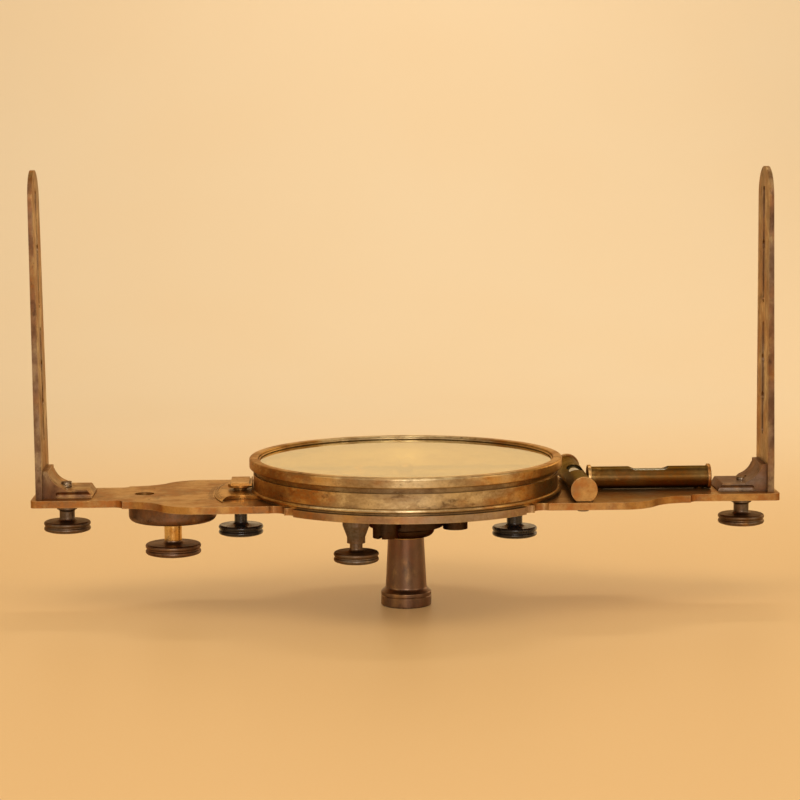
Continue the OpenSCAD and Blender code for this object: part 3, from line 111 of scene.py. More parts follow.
class CompassSizes(PropertyGroup):
    """Sizes of the fine shapes"""

    large_edge: size("Large edges", "Rounding of the edges of the plate and the sights", 0.35)
    small_edge: size("Small edges", "Rounding of the edges of turned and small parts", 0.15)
    mark_height: size("Mark height", "Thickness of the filled lines and numbers", 0.03)
    mark_width: size("Mark width", "Width of a line on the degree ring", 0.16)
    degree_line: size("Degree line", "Length of a one degree line", 2.0)
    five_line: size("Five degree line", "Length of a five degree line", 3.0)
    ten_line: size("Ten degree line", "Length of a ten degree line", 3.8)
    number_height: size("Number height", "Height of the numbers on the degree ring", 3.1)
    tally_number_height: size("Tally numbers", "Height of the numbers on the tally dial", 3.4)
    tally_number_place: size("Tally circle", "Radius of the circle of tally numbers", 14.1)
    vernier_line: size("Vernier line", "Length of a line of the vernier", 2.2)
    socket_radius: size("Socket radius", "Radius of the socket's tube at its top", 9.1)
    tongue_bevel: size("Tongue bevel", "Width of the bevel that carries the vernier", 4)
    tongue_edge: size("Tongue edge", "Thickness of the tongue at its outer edge", 0.4)
    tongue_thickness: size("Tongue thickness", "Thickness of the tongue behind its bevel", 1.8)
    rose_radius: size("Rose radius", "Reach of the long points of the compass rose", 46)
    letter_height: size("Letter height", "Height of the four letters on the dial", 8)
    bubble_length: size("Bubble length", "Length of the bubble in a level", 17)
    bubble_radius: size("Bubble radius", "Radius of the bubble in a level", 2.6)
    thread_pitch: size("Thread pitch", "Pitch of the screw threads that show", 0.7)


class CompassColours(PropertyGroup):
    """Colours of the finishes"""

    plate_clean: tint("Plate, clean", "Bare metal of the plate", (0.54, 0.39, 0.20))
    plate_aged: tint("Plate, aged", "Brown patina of the plate", (0.36, 0.235, 0.115))
    plate_deep: tint("Plate, deep", "Darkest patina of the plate", (0.060, 0.034, 0.024))
    box_clean: tint("Box, clean", "Bare metal of the compass box", (0.60, 0.43, 0.20))
    box_aged: tint("Box, aged", "Orange brown of the compass box", (0.38, 0.235, 0.088))
    box_deep: tint("Box, deep", "Dark stains of the compass box", (0.070, 0.033, 0.014))
    dark_clean: tint("Dark parts, worn", "Worn edges of the dark parts", (0.36, 0.23, 0.10))
    dark_aged: tint("Dark parts", "Brown of the dark parts", (0.155, 0.115, 0.070))
    dark_deep: tint("Dark parts, deep", "Deepest brown of the dark parts", (0.038, 0.024, 0.017))
    black_clean: tint("Blackened parts, worn", "Worn edges of the blackened parts",
                      (0.14, 0.08, 0.035))
    black_aged: tint("Blackened parts", "Brown of the blackened parts", (0.052, 0.027, 0.010))
    black_deep: tint("Blackened parts, deep", "Black of the blackened parts",
                     (0.018, 0.012, 0.008))
    plum_clean: tint("Outkeeper, worn", "Worn edges of the outkeeper", (0.32, 0.20, 0.10))
    plum_aged: tint("Outkeeper", "Purple brown of the outkeeper", (0.19, 0.125, 0.075))
    plum_deep: tint("Outkeeper, deep", "Dark stains of the outkeeper", (0.032, 0.018, 0.016))
    vane_clean: tint("Sights, clean", "Bare metal of the sights", (0.50, 0.35, 0.16))
    vane_aged: tint("Sights, aged", "Brown of the sights", (0.33, 0.20, 0.092))
    vane_deep: tint("Sights, deep", "Dark stains of the sights", (0.075, 0.036, 0.023))
    level_clean: tint("Levels, clean", "Bare metal of the levels", (0.34, 0.21, 0.065))
    level_aged: tint("Levels, aged", "Olive of the levels", (0.12, 0.072, 0.020))
    level_deep: tint("Levels, deep", "Dark stains of the levels", (0.040, 0.026, 0.013))
    bright_clean: tint("Bright brass", "Clean brass", (0.66, 0.44, 0.16))
    bright_aged: tint("Bright brass, dulled", "Dulled clean brass", (0.36, 0.21, 0.07))
    socket_clean: tint("Socket, worn", "Worn edges of the socket", (0.34, 0.19, 0.07))
    socket_aged: tint("Socket", "Brown of the socket", (0.150, 0.074, 0.030))
    socket_deep: tint("Socket, deep", "Dark stains of the socket", (0.050, 0.029, 0.018))
    bloom: tint("Bloom", "Grey film that gathers on old brass", (0.17, 0.12, 0.085))
    silver: tint("Silvering", "Silvered brass of the dial", (0.82, 0.72, 0.50))
    silver_stain: tint("Silvering, stained", "Mellowed silvering", (0.60, 0.46, 0.26))
    lacquer: tint("Black lacquer", "Black lacquer of two knobs", (0.014, 0.012, 0.012))
    lacquer_worn: tint("Black lacquer, worn", "Brown where the lacquer is thin",
                       (0.10, 0.065, 0.04))
    steel: tint("Steel", "Bright steel", (0.56, 0.55, 0.53))
    blued: tint("Blued steel", "Blued steel of the needle", (0.03, 0.05, 0.16))
    spirit: tint("Spirit", "Spirit in the levels", (0.17, 0.13, 0.045))
    filling: tint("Filling", "Dark wax in lines and numbers", (0.018, 0.016, 0.015))
    jewel: tint("Jewel", "Stone that the needle turns on", (0.50, 0.05, 0.07))
    floor: tint("Floor", "Warm paper that the compass stands on", (0.86, 0.62, 0.335))
    wall: tint("Backdrop", "Pale paper behind the compass", (0.88, 0.78, 0.62))
    lamp: tint("Light", "Warm light of the studio", (1.0, 0.77, 0.49))
    wall_lamp: tint("Backdrop light", "Light on the paper behind the compass", (1.0, 0.85, 0.65))
    front_lamp: tint("Front light", "Paler light from beside the camera", (1.0, 0.92, 0.82))


class StudioSettings(PropertyGroup):
    """Camera and lights"""

    distance: size("Camera distance", "Distance of the camera from the compass", 1177)
    height: size("Camera height", "Height of the camera above the floor", 243)
    aside: size("Camera aside", "How far the camera looks to the left of the socket", 2.65)
    pitch: tilt("Pitch", "How far the camera looks down", 6.71)
    turn: tilt("Turn", "How far the camera stands to the left", 2.0)
    roll: tilt("Roll", "How far the camera leans over", -0.3)
    focal_length: FloatProperty(name="Focal length", default=105.9, min=10,
                                description="Lens of the camera, in millimetres")
    key_power: watts("Key light", "Light above the compass", 3.4)
    front_power: watts("Front light", "Light by the camera", 8.5)
    left_power: watts("Left light", "Light on the left", 1.5)
    right_power: watts("Right light", "Light on the right", 2.6)
    rim_power: watts("Rim light", "Light behind on the right", 1.6)
    wall_power: watts("Backdrop light", "Light on the backdrop", 4.3)
    room_light: FloatProperty(name="Room light", description="Brightness of the room all round",
                              default=0.5, min=0)


def sizes():
    """The sizes of the fine shapes, as they are set now."""
    return bpy.context.scene.compass_sizes


def colours():
    """The colours of the finishes, as they are set now."""
    return bpy.context.scene.compass_colours


def studio():
    """The camera and lights, as they are set now."""
    return bpy.context.scene.compass_studio


# Finishes


class Wire:
    """An output in a material, which Python's own operators can do sums with."""

    def __init__(self, finish, socket):
        self.finish = finish
        self.socket = socket

    def __add__(self, other):
        return self.finish.sum("ADD", self, other)

    def __sub__(self, other):
        return self.finish.sum("SUBTRACT", self, other)

    def __mul__(self, other):
        return self.finish.sum("MULTIPLY", self, other)

    def __abs__(self):
        return self.finish.sum("ABSOLUTE", self, 0.0)

    def __rsub__(self, other):
        return self.finish.sum("SUBTRACT", other, self)

    __radd__ = __add__
    __rmul__ = __mul__


class Finish:
    """A material, made of nodes."""

    def __init__(self, name):
        self.material = bpy.data.materials.new(name)
        self.material.use_nodes = True
        self.tree = self.material.node_tree
        self.tree.nodes.clear()

    def node(self, kind, settings=None, inputs=None, output=0):
        """Makes one node: its settings first, then the values or wires of its inputs."""
        made = self.tree.nodes.new(kind)
        for key, value in (settings or {}).items():
            setattr(made, key, value)
        for key, value in (inputs or {}).items():
            if isinstance(value, Wire):
                self.tree.links.new(value.socket, made.inputs[key])
            else:
                made.inputs[key].default_value = value
        return Wire(self, made.outputs[output])

    def sum(self, operation, a, b):
        """One sum on two values."""
        return self.node("ShaderNodeMath", {"operation": operation}, {0: a, 1: b})

    def vector(self, operation, a, b, output=0):
        """One sum on two vectors; output 1 is its value, where the result is a number."""
        return self.node("ShaderNodeVectorMath", {"operation": operation}, {0: a, 1: b}, output)

    def part(self, vector, axis):
        """One part of a vector: 0 for X, 1 for Y and 2 for Z."""
        return self.node("ShaderNodeSeparateXYZ", None, {0: vector}, axis)

    def place(self, stretch=(1, 1, 1), centre=(0, 0, 0)):
        """Object coordinates in millimetres, from a centre, drawn out along the axes."""
        point = self.node("ShaderNodeTexCoord", output="Object")
        point = self.vector("SUBTRACT", point, [c * MM for c in centre])
        return self.vector("MULTIPLY", point, [s / MM for s in stretch])

    def cloud(self, size_mm, detail=5.0, rough=0.55, stretch=(1, 1, 1), shift=0.0):
        """Soft random patches of about the size given."""
        point = self.place(stretch, (shift, shift, -shift))
        return self.node("ShaderNodeTexNoise", {"noise_dimensions": "3D"},
                         {"Vector": point, "Scale": 1 / size_mm, "Detail": detail,
                          "Roughness": rough})

    def pits(self, size_mm, radius=0.3):
        """Small round spots, 1 in a spot and 0 around it."""
        distance = self.node("ShaderNodeTexVoronoi", {"feature": "F1"},
                             {"Vector": self.place(), "Scale": 1 / size_mm})
        return self.step(distance, radius, radius * 0.4)

    def turned_lines(self, centre, pitch=0.35):
        """Fine rings round an upright axis, as a lathe leaves them."""
        point = self.place((1, 1, 1), (centre[0], centre[1], 0))
        radius = self.vector("LENGTH", self.vector("MULTIPLY", point, (1, 1, 0)), (0, 0, 0), 1)
        height = self.part(point, 2)
        line = self.node("ShaderNodeCombineXYZ", None, {0: radius, 1: height, 2: 0.0})
        return self.node("ShaderNodeTexNoise", {"noise_dimensions": "3D"},
                         {"Vector": line, "Scale": 1 / pitch, "Detail": 3.0})

    def step(self, value, low, high, start=0.0, end=1.0):
        """A soft step from start to end as the value goes from low to high."""
        return self.node("ShaderNodeMapRange", {"interpolation_type": "SMOOTHSTEP"},
                         {"Value": value, "From Min": low, "From Max": high,
                          "To Min": start, "To Max": end})

    def mix(self, share, a, b):
        """Colour a where the share is 0 and colour b where it is 1."""
        a, b = [c if isinstance(c, Wire) else (*c, 1) for c in (a, b)]
        return self.node("ShaderNodeMix", {"data_type": "RGBA"}, {0: share, 6: a, 7: b}, 2)

    def edge(self, radius_mm, low=0.02, high=0.2):
        """1 along edges, where metal is rubbed bare."""
        rounded = self.node("ShaderNodeBevel", {"samples": 4}, {"Radius": radius_mm * MM})
        straight = self.node("ShaderNodeNewGeometry", output="Normal")
        return self.step(1 - self.vector("DOT_PRODUCT", rounded, straight, 1), low, high)

    def corner(self, reach_mm):
        """1 in grooves and corners, as painted shade and the dirt that gathers there."""
        open_air = self.node("ShaderNodeAmbientOcclusion", {"samples": 5},
                             {"Distance": reach_mm * MM}, 1)
        return self.step(open_air, 0.75, 0.25)

    def bump(self, height, strength, depth_mm):
        """Relief, as deep as depth_mm where the height goes from 0 to 1."""
        return self.node("ShaderNodeBump", None,
                         {"Height": height, "Strength": strength, "Distance": depth_mm * MM})

    def surface(self, **inputs):
        """Ends the material in a surface with these inputs, whose names have _ for a space."""
        named = {key.replace("_", " "): value for key, value in inputs.items()}
        for key, value in named.items():
            if isinstance(value, tuple) and len(value) == 3:
                named[key] = (*value, 1)
        shader = self.node("ShaderNodeBsdfPrincipled", None, named)
        end = self.tree.nodes.new("ShaderNodeOutputMaterial")
        self.tree.links.new(shader.socket, end.inputs["Surface"])
        return self.material


def scaled(colour, *factors):
    """A colour whose red, green and blue are each multiplied by a factor."""
    return tuple(c * k for c, k in zip(colour, factors))


SPECK = 0.9  # size of the finest grain, in mm
PITS = (2.4, 0.22)  # spacing of the pits in mm, and their radius as a share of it
EDGE_REACH = 0.6  # width of a rubbed edge, in mm
CORNER_SHADE_REACH = 2.6  # reach of the painted shade and dirt in a corner, in mm
SHEEN_TO_SHADE = (12, 78)  # distances from the middle, in mm, where the painted highlight of the middle starts to fade and where the painted shade of the sides, redder and darker brass, is deepest


def aged_brass(name, clean, aged, deep, cover=0.5, patch=16.0, stretch=(1, 1, 1), spots=0.5,
               turned=None, brushed=None, smooth=0.24, rough=0.5, wear=0.8, shade_and_grime=0.8, film=0.3,
               shadow_band=None, sheen_and_side_shade=0.0, flank_shade=0.0, coat=0.0, tint_edge=(0.95, 0.82, 0.62),
               shift=0.0):
    """Old brass: patches of red and olive patina over bare metal, a grey film, small pits, tool
    lines, bare edges, and grooves and corners darkened by painted shade and dirt. cover is the
    share under patina, patch the size of its patches in mm, stretch how they are drawn out,
    shadow_band the low and high end of a painted shadow in the groove under the bezel,
    sheen_and_side_shade how much paler and more olive the brass is painted in the middle of the
    compass, as painted highlight, and how much redder and darker towards its sides, as painted
    shade, flank_shade how much painted shade darkens the faces towards the front and back,
    tint_edge the colour of its glancing reflections, and shift what sets its patterns apart from
    another finish's."""
    finish = Finish(name)
    wide = finish.cloud(patch, 6, 0.62, stretch, shift)
    fine = finish.cloud(patch / 6, 5, 0.6, stretch, shift + 40)
    speck = finish.cloud(SPECK, 3, 0.6, (1, 1, 1), shift + 90)
    middle = 0.35 + cover * 0.3
    patina = finish.step(wide * 0.72 + fine * 0.28, middle + 0.08, middle - 0.08)
    stain = finish.step(finish.cloud(patch * 0.55, 6, 0.68, stretch, shift + 150),
                        0.47 + (1 - spots) * 0.16, 0.62 + (1 - spots) * 0.16)
    veil = finish.step(finish.cloud(patch * 0.8, 7, 0.7, stretch, shift + 210),
                       0.46, 0.68, 0.0, film)
    pits = finish.pits(*PITS) * finish.step(fine, 0.46, 0.66) * spots
    edge = (finish.edge(EDGE_REACH, 0.015, 0.14)
            * finish.step(fine * 0.6 + speck * 0.4, 0.34, 0.52) * wear)
    # painted shade and dirt: a mask that is 1 in grooves and corners, where the surroundings hide
    # the light
    corner = finish.corner(CORNER_SHADE_REACH) * shade_and_grime
    # painted highlight and painted shade: besides random tone, the brass is painted paler and more
    # olive in the middle of the compass and redder and darker towards its sides
    side = abs(finish.part(finish.place(), 0))
    tone_and_light = (finish.cloud(patch * 1.5, 4, 0.55, stretch, shift + 270)
           + finish.step(side, *SHEEN_TO_SHADE, 0.22, -0.26) * sheen_and_side_shade)
    tone_and_light = finish.step(tone_and_light, 0.34, 0.66)
    tarnish = finish.mix(tone_and_light, scaled(aged, 0.98, 0.64, 0.38), scaled(aged, 1.04, 1.24, 1.85))
    bare = finish.mix(tone_and_light, scaled(clean, 0.92, 0.76, 0.52), scaled(clean, 1.02, 1.18, 1.6))
    half = tuple(0.5 * (a + d) for a, d in zip(aged, deep))
    colour = finish.mix(finish.step(fine, 0.40, 0.62, 0.0, 0.6), tarnish, half)
    colour = finish.mix(patina, bare, colour)
    colour = finish.mix(veil, colour, colours().bloom)
    colour = finish.mix(finish.step(speck, 0.45, 0.75, 0.0, 0.2), colour, deep)
    colour = finish.mix(stain * 0.75, colour, deep)
    colour = finish.mix(edge, colour, clean)
    # painted shade and dirt darken grooves and corners
    colour = finish.mix(corner, colour, deep)
    colour = finish.mix(pits, colour, deep)
    # painted shade: faces towards the front and back are darkened
    if flank_shade:
        facing = finish.part(finish.node("ShaderNodeNewGeometry", output="Normal"), 1)
        facing = finish.step(abs(facing), 0.6, 0.9, 0.0, flank_shade)
        colour = finish.mix(facing * finish.step(wide, 0.36, 0.56, 1.0, 0.45), colour, deep)
    # painted shadow: a dark band on the wall in the groove under the bezel
    if shadow_band is not None:
        height = finish.part(finish.place(), 2)
        inside = (finish.step(height, shadow_band[0] - 0.2, shadow_band[0] + 0.1)
                  * finish.step(height, shadow_band[1] + 0.2, shadow_band[1] - 0.1))
        colour = finish.mix(inside * 0.5, colour, deep)
    dull = patina * 0.55 + stain * 0.35 + fine * 0.3 + veil * 0.6 - edge * 0.4
    roughness = finish.step(dull, 0.0, 1.2, smooth, rough)
    metal = finish.step(corner * 0.8 + stain * 0.35 + pits * 0.5 + veil * 0.8, 0.2, 1.3, 1.0, 0.5)
    height = wide * 0.5 + fine * 0.35 + speck * 0.12 - pits * 0.6
    if turned is not None:
        height = height + finish.turned_lines(turned) * 0.25
    if brushed is not None:
        lines = finish.cloud(0.5, 4, 0.6, brushed, shift + 10)
        height = height + lines * 0.1
        roughness = roughness + finish.step(lines, 0.3, 0.7, -0.03, 0.04)
    normal = finish.bump(height, 0.35, 0.12)
    return finish.surface(Base_Color=colour, Metallic=metal, Roughness=roughness, Normal=normal,
                          Specular_Tint=tint_edge, Coat_Weight=coat, Coat_Roughness=0.38)


def black_lacquer(name):
    """Black lacquer, thin and brown on the rims, with fine scratches."""
    finish = Finish(name)
    patch = finish.cloud(5, 5, 0.6)
    edge = finish.edge(0.5) * finish.step(patch, 0.40, 0.60)
    colour = finish.mix(edge, colours().lacquer, colours().lacquer_worn)
    roughness = finish.step(patch, 0.3, 0.7, 0.22, 0.42)
    normal = finish.bump(finish.cloud(1.2, 4), 0.2, 0.05)
    return finish.surface(Base_Color=colour, Metallic=0.35, Roughness=roughness, Normal=normal,
                          Coat_Weight=0.4, Coat_Roughness=0.15)


def silvered(name):
    """Silvered brass with fine rings, mellowed in patches."""
    finish = Finish(name)
    patch = finish.cloud(22, 6, 0.6)
    speck = finish.cloud(1.1, 4, 0.6, shift=30)
    stain = finish.step(patch, 0.45, 0.72, 0.0, 0.8)
    colour = finish.mix(stain, colours().silver, colours().silver_stain)
    colour = finish.mix(finish.step(speck, 0.60, 0.78, 0.0, 0.5), colour,
                        colours().silver_stain)
    lines = finish.turned_lines((0, 0), 0.25)
    roughness = finish.step(patch, 0.3, 0.7, 0.34, 0.50)
    normal = finish.bump(lines * 0.6 + speck * 0.2, 0.2, 0.05)
    return finish.surface(Base_Color=colour, Metallic=0.85, Roughness=roughness, Normal=normal)


def plain_metal(name, colour, dulled):
    """Steel or blued steel: its colour dulled by a factor in faint clouds, with fine scratches."""
    finish = Finish(name)
    patch = finish.cloud(4, 5, 0.6)
    lines = finish.cloud(0.5, 4, 0.6, (0.2, 1, 1), 20)
    tone = finish.mix(finish.step(patch, 0.4, 0.7), colour,
                      scaled(colour, dulled, dulled, dulled))
    roughness = finish.step(patch * 0.6 + lines * 0.4, 0.3, 0.7, 0.22, 0.42)
    return finish.surface(Base_Color=tone, Metallic=1.0, Roughness=roughness,
                          Normal=finish.bump(lines, 0.15, 0.04))


def cover_glass(name):
    """Old window glass: clear, slightly wavy, with a faint bloom of dust."""
    finish = Finish(name)
    wave = finish.cloud(26, 2, 0.4)
    dust = finish.cloud(7, 6, 0.7)
    return finish.surface(Base_Color=(0.97, 0.90, 0.74), Transmission_Weight=0.96, IOR=1.9,
                          Roughness=finish.step(dust, 0.45, 0.75, 0.02, 0.12),
                          Coat_Weight=1.0, Coat_IOR=1.15, Coat_Tint=(1.0, 0.965, 0.80),
                          Coat_Roughness=0.02,
                          Normal=finish.bump(wave, 0.08, 0.2))


def vial_glass(name):
    """A glass tube full of greenish spirit."""
    finish = Finish(name)
    cloud = finish.cloud(6, 3)
    colour = finish.mix(finish.step(cloud, 0.35, 0.7), colours().spirit,
                        (0.22, 0.20, 0.07))
    return finish.surface(Base_Color=colour, Transmission_Weight=0.6, IOR=1.40, Roughness=0.04,
                          Coat_Weight=0.5, Coat_Roughness=0.03,
                          Normal=finish.bump(cloud, 0.05, 0.05))


def small_finish(name, colour, roughness=0.5, **more):
    """A plain small piece: filling, bubble or stone, with a little variation."""
    finish = Finish(name)
    cloud = finish.cloud(1.5, 4)
    tone = finish.mix(finish.step(cloud, 0.35, 0.7), colour,
                      scaled(colour, 0.72, 0.72, 0.72))
    return finish.surface(Base_Color=tone, Roughness=roughness, **more)


def floor_paper(name):
    """Smooth warm paper, paler where it rises behind the compass."""
    finish = Finish(name)
    fibre = finish.cloud(1.4, 4)
    broad = finish.cloud(300, 2)
    behind = finish.step(finish.part(finish.place(), 1), 100, 900)
    tone = finish.mix(behind, colours().floor, colours().wall)
    tone = finish.mix(finish.step(broad, 0.3, 0.7, 0.0, 0.12), tone, colours().floor)
    return finish.surface(Base_Color=tone, Roughness=finish.step(fibre, 0.3, 0.7, 0.42, 0.5),
                          Normal=finish.bump(fibre, 0.06, 0.05))


def groove_band():
    """Low and high end of the painted shadow in the groove under the bezel, in mm."""
    groove_height = 2.7
    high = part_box("bezel")[0].z / MM
    return high - groove_height, high


def make_finishes():
    """One material for each finish, by its slot's name, and some for single pieces."""
    c = colours()
    return {
        "plate_brass": aged_brass("plate_brass", c.plate_clean, c.plate_aged, c.plate_deep,
                                  cover=0.6, patch=26, spots=0.25, brushed=(0.05, 2, 2),
                                  smooth=0.3, rough=0.46, film=0.12, sheen_and_side_shade=0.6),
        "box_brass": aged_brass("box_brass", c.box_clean, c.box_aged, c.box_deep, cover=0.5,
                                patch=13, stretch=(0.7, 0.7, 1.3), spots=0.42, turned=(0, 0),
                                smooth=0.3, rough=0.48, film=0.3, sheen_and_side_shade=1.0, shift=11),
        "wall_brass": aged_brass("wall_brass", c.box_clean, c.box_aged, c.box_deep, cover=0.6,
                                 patch=12, stretch=(0.7, 0.7, 1.2), spots=0.55, turned=(0, 0),
                                 smooth=0.3, rough=0.48, film=0.35, shadow_band=groove_band(),
                                 sheen_and_side_shade=1.0, shift=17),
        "dark_brass": aged_brass("dark_brass", c.dark_clean, c.dark_aged, c.dark_deep, cover=0.9,
                                 patch=8, spots=0.35, smooth=0.3, rough=0.48, wear=0.5,
                                 coat=0.25, tint_edge=(0.6, 0.45, 0.3), shift=23),
        "socket_brass": aged_brass("socket_brass", c.socket_clean, c.socket_aged, c.socket_deep,
                                   cover=0.85, patch=26, stretch=(1, 1, 0.6), spots=0.2,
                                   smooth=0.28, rough=0.4, wear=0.6, shade_and_grime=0.6, film=0.35,
                                   coat=0.9, tint_edge=(0.6, 0.45, 0.3), shift=27),
        "black_brass": aged_brass("black_brass", c.black_clean, c.black_aged, c.black_deep,
                                  cover=0.95, patch=9, spots=0.4, smooth=0.34, rough=0.52,
                                  wear=0.25, film=0.1, tint_edge=(0.4, 0.3, 0.2), shift=29),
        "plum_brass": aged_brass("plum_brass", c.plum_clean, c.plum_aged, c.plum_deep,
                                 cover=0.85, patch=12, spots=0.45, smooth=0.32, rough=0.5,
                                 wear=0.4, coat=0.25, tint_edge=(0.6, 0.45, 0.35), shift=31),
        "vane_brass": aged_brass("vane_brass", c.vane_clean, c.vane_aged, c.vane_deep, cover=0.7,
                                 patch=13, stretch=(1, 1, 0.6), spots=0.6, brushed=(2, 2, 0.06),
                                 smooth=0.3, rough=0.5, wear=0.6, film=0.15, flank_shade=0.75,
                                 shift=37),
        "level_brass": aged_brass("level_brass", c.level_clean, c.level_aged, c.level_deep,
                                  cover=0.9, patch=14, spots=0.15, brushed=(2, 0.1, 2),
                                  smooth=0.28, rough=0.42, wear=0.55, film=0.1,
                                  tint_edge=(0.6, 0.5, 0.3), shift=51),
        "bright_brass": aged_brass("bright_brass", c.bright_clean, c.bright_aged, c.plate_deep,
                                   cover=0.4, patch=6, spots=0.25, smooth=0.2, rough=0.38,
                                   film=0.1, shift=67),
        "silvered_brass": silvered("silvered_brass"),
        "black_lacquer": black_lacquer("black_lacquer"),
        "steel": plain_metal("steel", c.steel, 0.6),
        "blued_steel": plain_metal("blued_steel", c.blued, 0.5),
        "cover_glass": cover_glass("cover_glass"),
        "vial_glass": vial_glass("vial_glass"),
        "jewel": small_finish("jewel", c.jewel, 0.06, Transmission_Weight=0.4, IOR=1.76),
        "filling": small_finish("filling", c.filling, 0.55),
        "bubble": small_finish("bubble", (0.42, 0.34, 0.15), 0.12, Transmission_Weight=0.3,
                               Coat_Weight=0.6),
    }


FINISHES = {}


def dress(piece, finish):
    """Gives a piece one finish all over."""
    piece.data.materials.clear()
    piece.data.materials.append(FINISHES[finish])


# Modelling helpers


def pick(*pieces):
    """Selects these objects only, and makes the first active."""
    if bpy.context.mode != "OBJECT":
        bpy.ops.object.mode_set(mode="OBJECT")
    bpy.ops.object.select_all(action="DESELECT")
    for piece in pieces:
        piece.select_set(True)
    bpy.context.view_layer.objects.active = pieces[0]


def newest():
    """The object that the last operator made."""
    return bpy.context.view_layer.objects.active


def edit_all(piece):
    """Enters edit mode with the whole piece selected."""
    pick(piece)
    bpy.ops.object.mode_set(mode="EDIT")
    bpy.ops.mesh.select_all(action="SELECT")


def no_pick():
    """Leaves edit mode and selects nothing."""
    if bpy.context.mode != "OBJECT":
        bpy.ops.object.mode_set(mode="OBJECT")
    bpy.ops.object.select_all(action="DESELECT")


def settle(piece):
    """Puts a piece's place into its mesh, so that its object sits at the origin."""
    pick(piece)
    bpy.ops.object.transform_apply(location=True, rotation=True, scale=True)
    return piece


def apply_modifier(piece, kind, **settings):
    """Adds a modifier with these settings and applies it."""
    pick(piece)
    modifier = piece.modifiers.new(kind.title(), kind)
    for key, value in settings.items():
        setattr(modifier, key, value)
    bpy.ops.object.modifier_apply(modifier=modifier.name)


def place_piece(piece, name, body, slot, finish=None):
    """Names a finished piece, gives it its finish and lets it ride on its body."""
    piece.name = name
    piece.data.name = name
    dress(piece, finish or slot)
    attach(piece, body)


def soften(node, width, segments=2, finish=None):
    """Replaces a CAD node by a copy whose sharp edges are rounded off."""
    source = NODES[node]
    pick(source)
    bpy.ops.object.duplicate()
    piece = newest()
    for key in list(piece.keys()):
        del piece[key]
    piece.parent = None
    piece.matrix_world = Matrix.Identity(4)
    pick(piece)
    bpy.ops.mesh.customdata_custom_splitnormals_clear()
    edit_all(piece)
    bpy.ops.mesh.remove_doubles(threshold=WELD)
    bpy.ops.mesh.dissolve_limited(angle_limit=radians(0.6))
    bpy.ops.object.mode_set(mode="OBJECT")
    apply_modifier(piece, "BEVEL", width=width, segments=segments, limit_method="ANGLE",
                   angle_limit=radians(35), use_clamp_overlap=True)
    pick(piece)
    bpy.ops.object.shade_smooth_by_angle(angle=radians(50))
    apply_modifier(piece, "WEIGHTED_NORMAL", keep_sharp=True)
    place_piece(piece, node + "_piece", source["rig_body"], SLOT_OF[node], finish)
    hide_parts(node)


def turned(profile, centre, steps=64, closed=False):
    """Turns a profile, given as radius and height in metres, round an upright axis. A closed
    profile ends where it starts, as round a ring."""
    no_pick()
    bpy.ops.mesh.primitive_plane_add(size=MM, location=(0, 0, 0))
    piece = newest()
    edit_all(piece)
    bpy.ops.mesh.merge(type="CENTER")
    bpy.ops.transform.translate(value=(profile[0][0] + centre[0], centre[1], profile[0][1]))
    for (r0, z0), (r1, z1) in zip(profile, profile[1:]):
        bpy.ops.mesh.extrude_region_move(TRANSFORM_OT_translate={"value": (r1 - r0, 0, z1 - z0)})
    bpy.ops.mesh.select_all(action="SELECT")
    if closed:
        bpy.ops.mesh.edge_face_add()
        bpy.ops.mesh.delete(type="ONLY_FACE")
        bpy.ops.mesh.select_all(action="SELECT")
    bpy.ops.mesh.spin(steps=steps, angle=2 * pi, center=(centre[0], centre[1], 0), axis=(0, 0, 1))
    bpy.ops.mesh.select_all(action="SELECT")
    bpy.ops.mesh.remove_doubles(threshold=WELD)
    bpy.ops.mesh.normals_make_consistent(inside=False)
    bpy.ops.object.mode_set(mode="OBJECT")
    pick(piece)
    bpy.ops.object.shade_smooth_by_angle(angle=radians(40))
    return piece


def copies_round(piece, count):
    """Copies a piece's mesh round the middle of the compass, count times in all."""
    edit_all(piece)
    bpy.ops.mesh.spin(steps=count - 1, dupli=True, angle=2 * pi / count * (count - 1),
                      center=(0, 0, 0), axis=(0, 0, 1), use_auto_merge=False)
    bpy.ops.object.mode_set(mode="OBJECT")
    return piece


def line_mark(radius, length, width, low, high, angle=0.0, fall=0.0):
    """One line of a scale: a slim bar that points outwards, on a face that falls by an angle."""
    no_pick()
    bpy.ops.mesh.primitive_cube_add(size=1, location=(0, 0, 0))
    piece = newest()
    piece.scale = (length, width, high - low)
    piece.rotation_euler = (0, fall, 0)
    piece.location = (radius + length / 2, 0, (low + high) / 2)
    settle(piece)
    piece.rotation_euler = (0, 0, angle)
    return settle(piece)


def joined(pieces):
    """Joins pieces into the first."""
    pick(*pieces)
    bpy.ops.object.join()
    return newest()


def number(text, height, place, turn, z, thick):
    """A number or letter, lying flat with its foot towards the centre, as a mesh."""
    no_pick()
    bpy.ops.object.text_add(location=(0, 0, 0))
    piece = newest()
    piece.data.body = text
    piece.data.size = height * FONT_PER_HEIGHT
    piece.data.align_x = "CENTER"
    piece.data.align_y = "CENTER"
    piece.data.extrude = thick / 2
    piece.data.resolution_u = 3
    bpy.ops.object.convert(target="MESH")
    piece = newest()
    piece.location = (place[0], place[1], z + thick / 2)
    piece.rotation_euler = (0, 0, turn)
    return settle(piece)


def top_of(node):
    """Height of the top of a CAD node."""
    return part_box(node)[1].z


def centre_of(node):
    """Middle of a CAD node's box."""
    low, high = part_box(node)
    return (low + high) / 2


class FinishesOperator(Operator):
    """Makes the finishes and gives every CAD node the one of its slot"""

    bl_idname = "compass.make_finishes"
    bl_label = "Finishes"

    def execute(self, context):
        FINISHES.update(make_finishes())
        for node, piece in NODES.items():
            dress(piece, SLOT_OF[node])
        return {"FINISHED"}


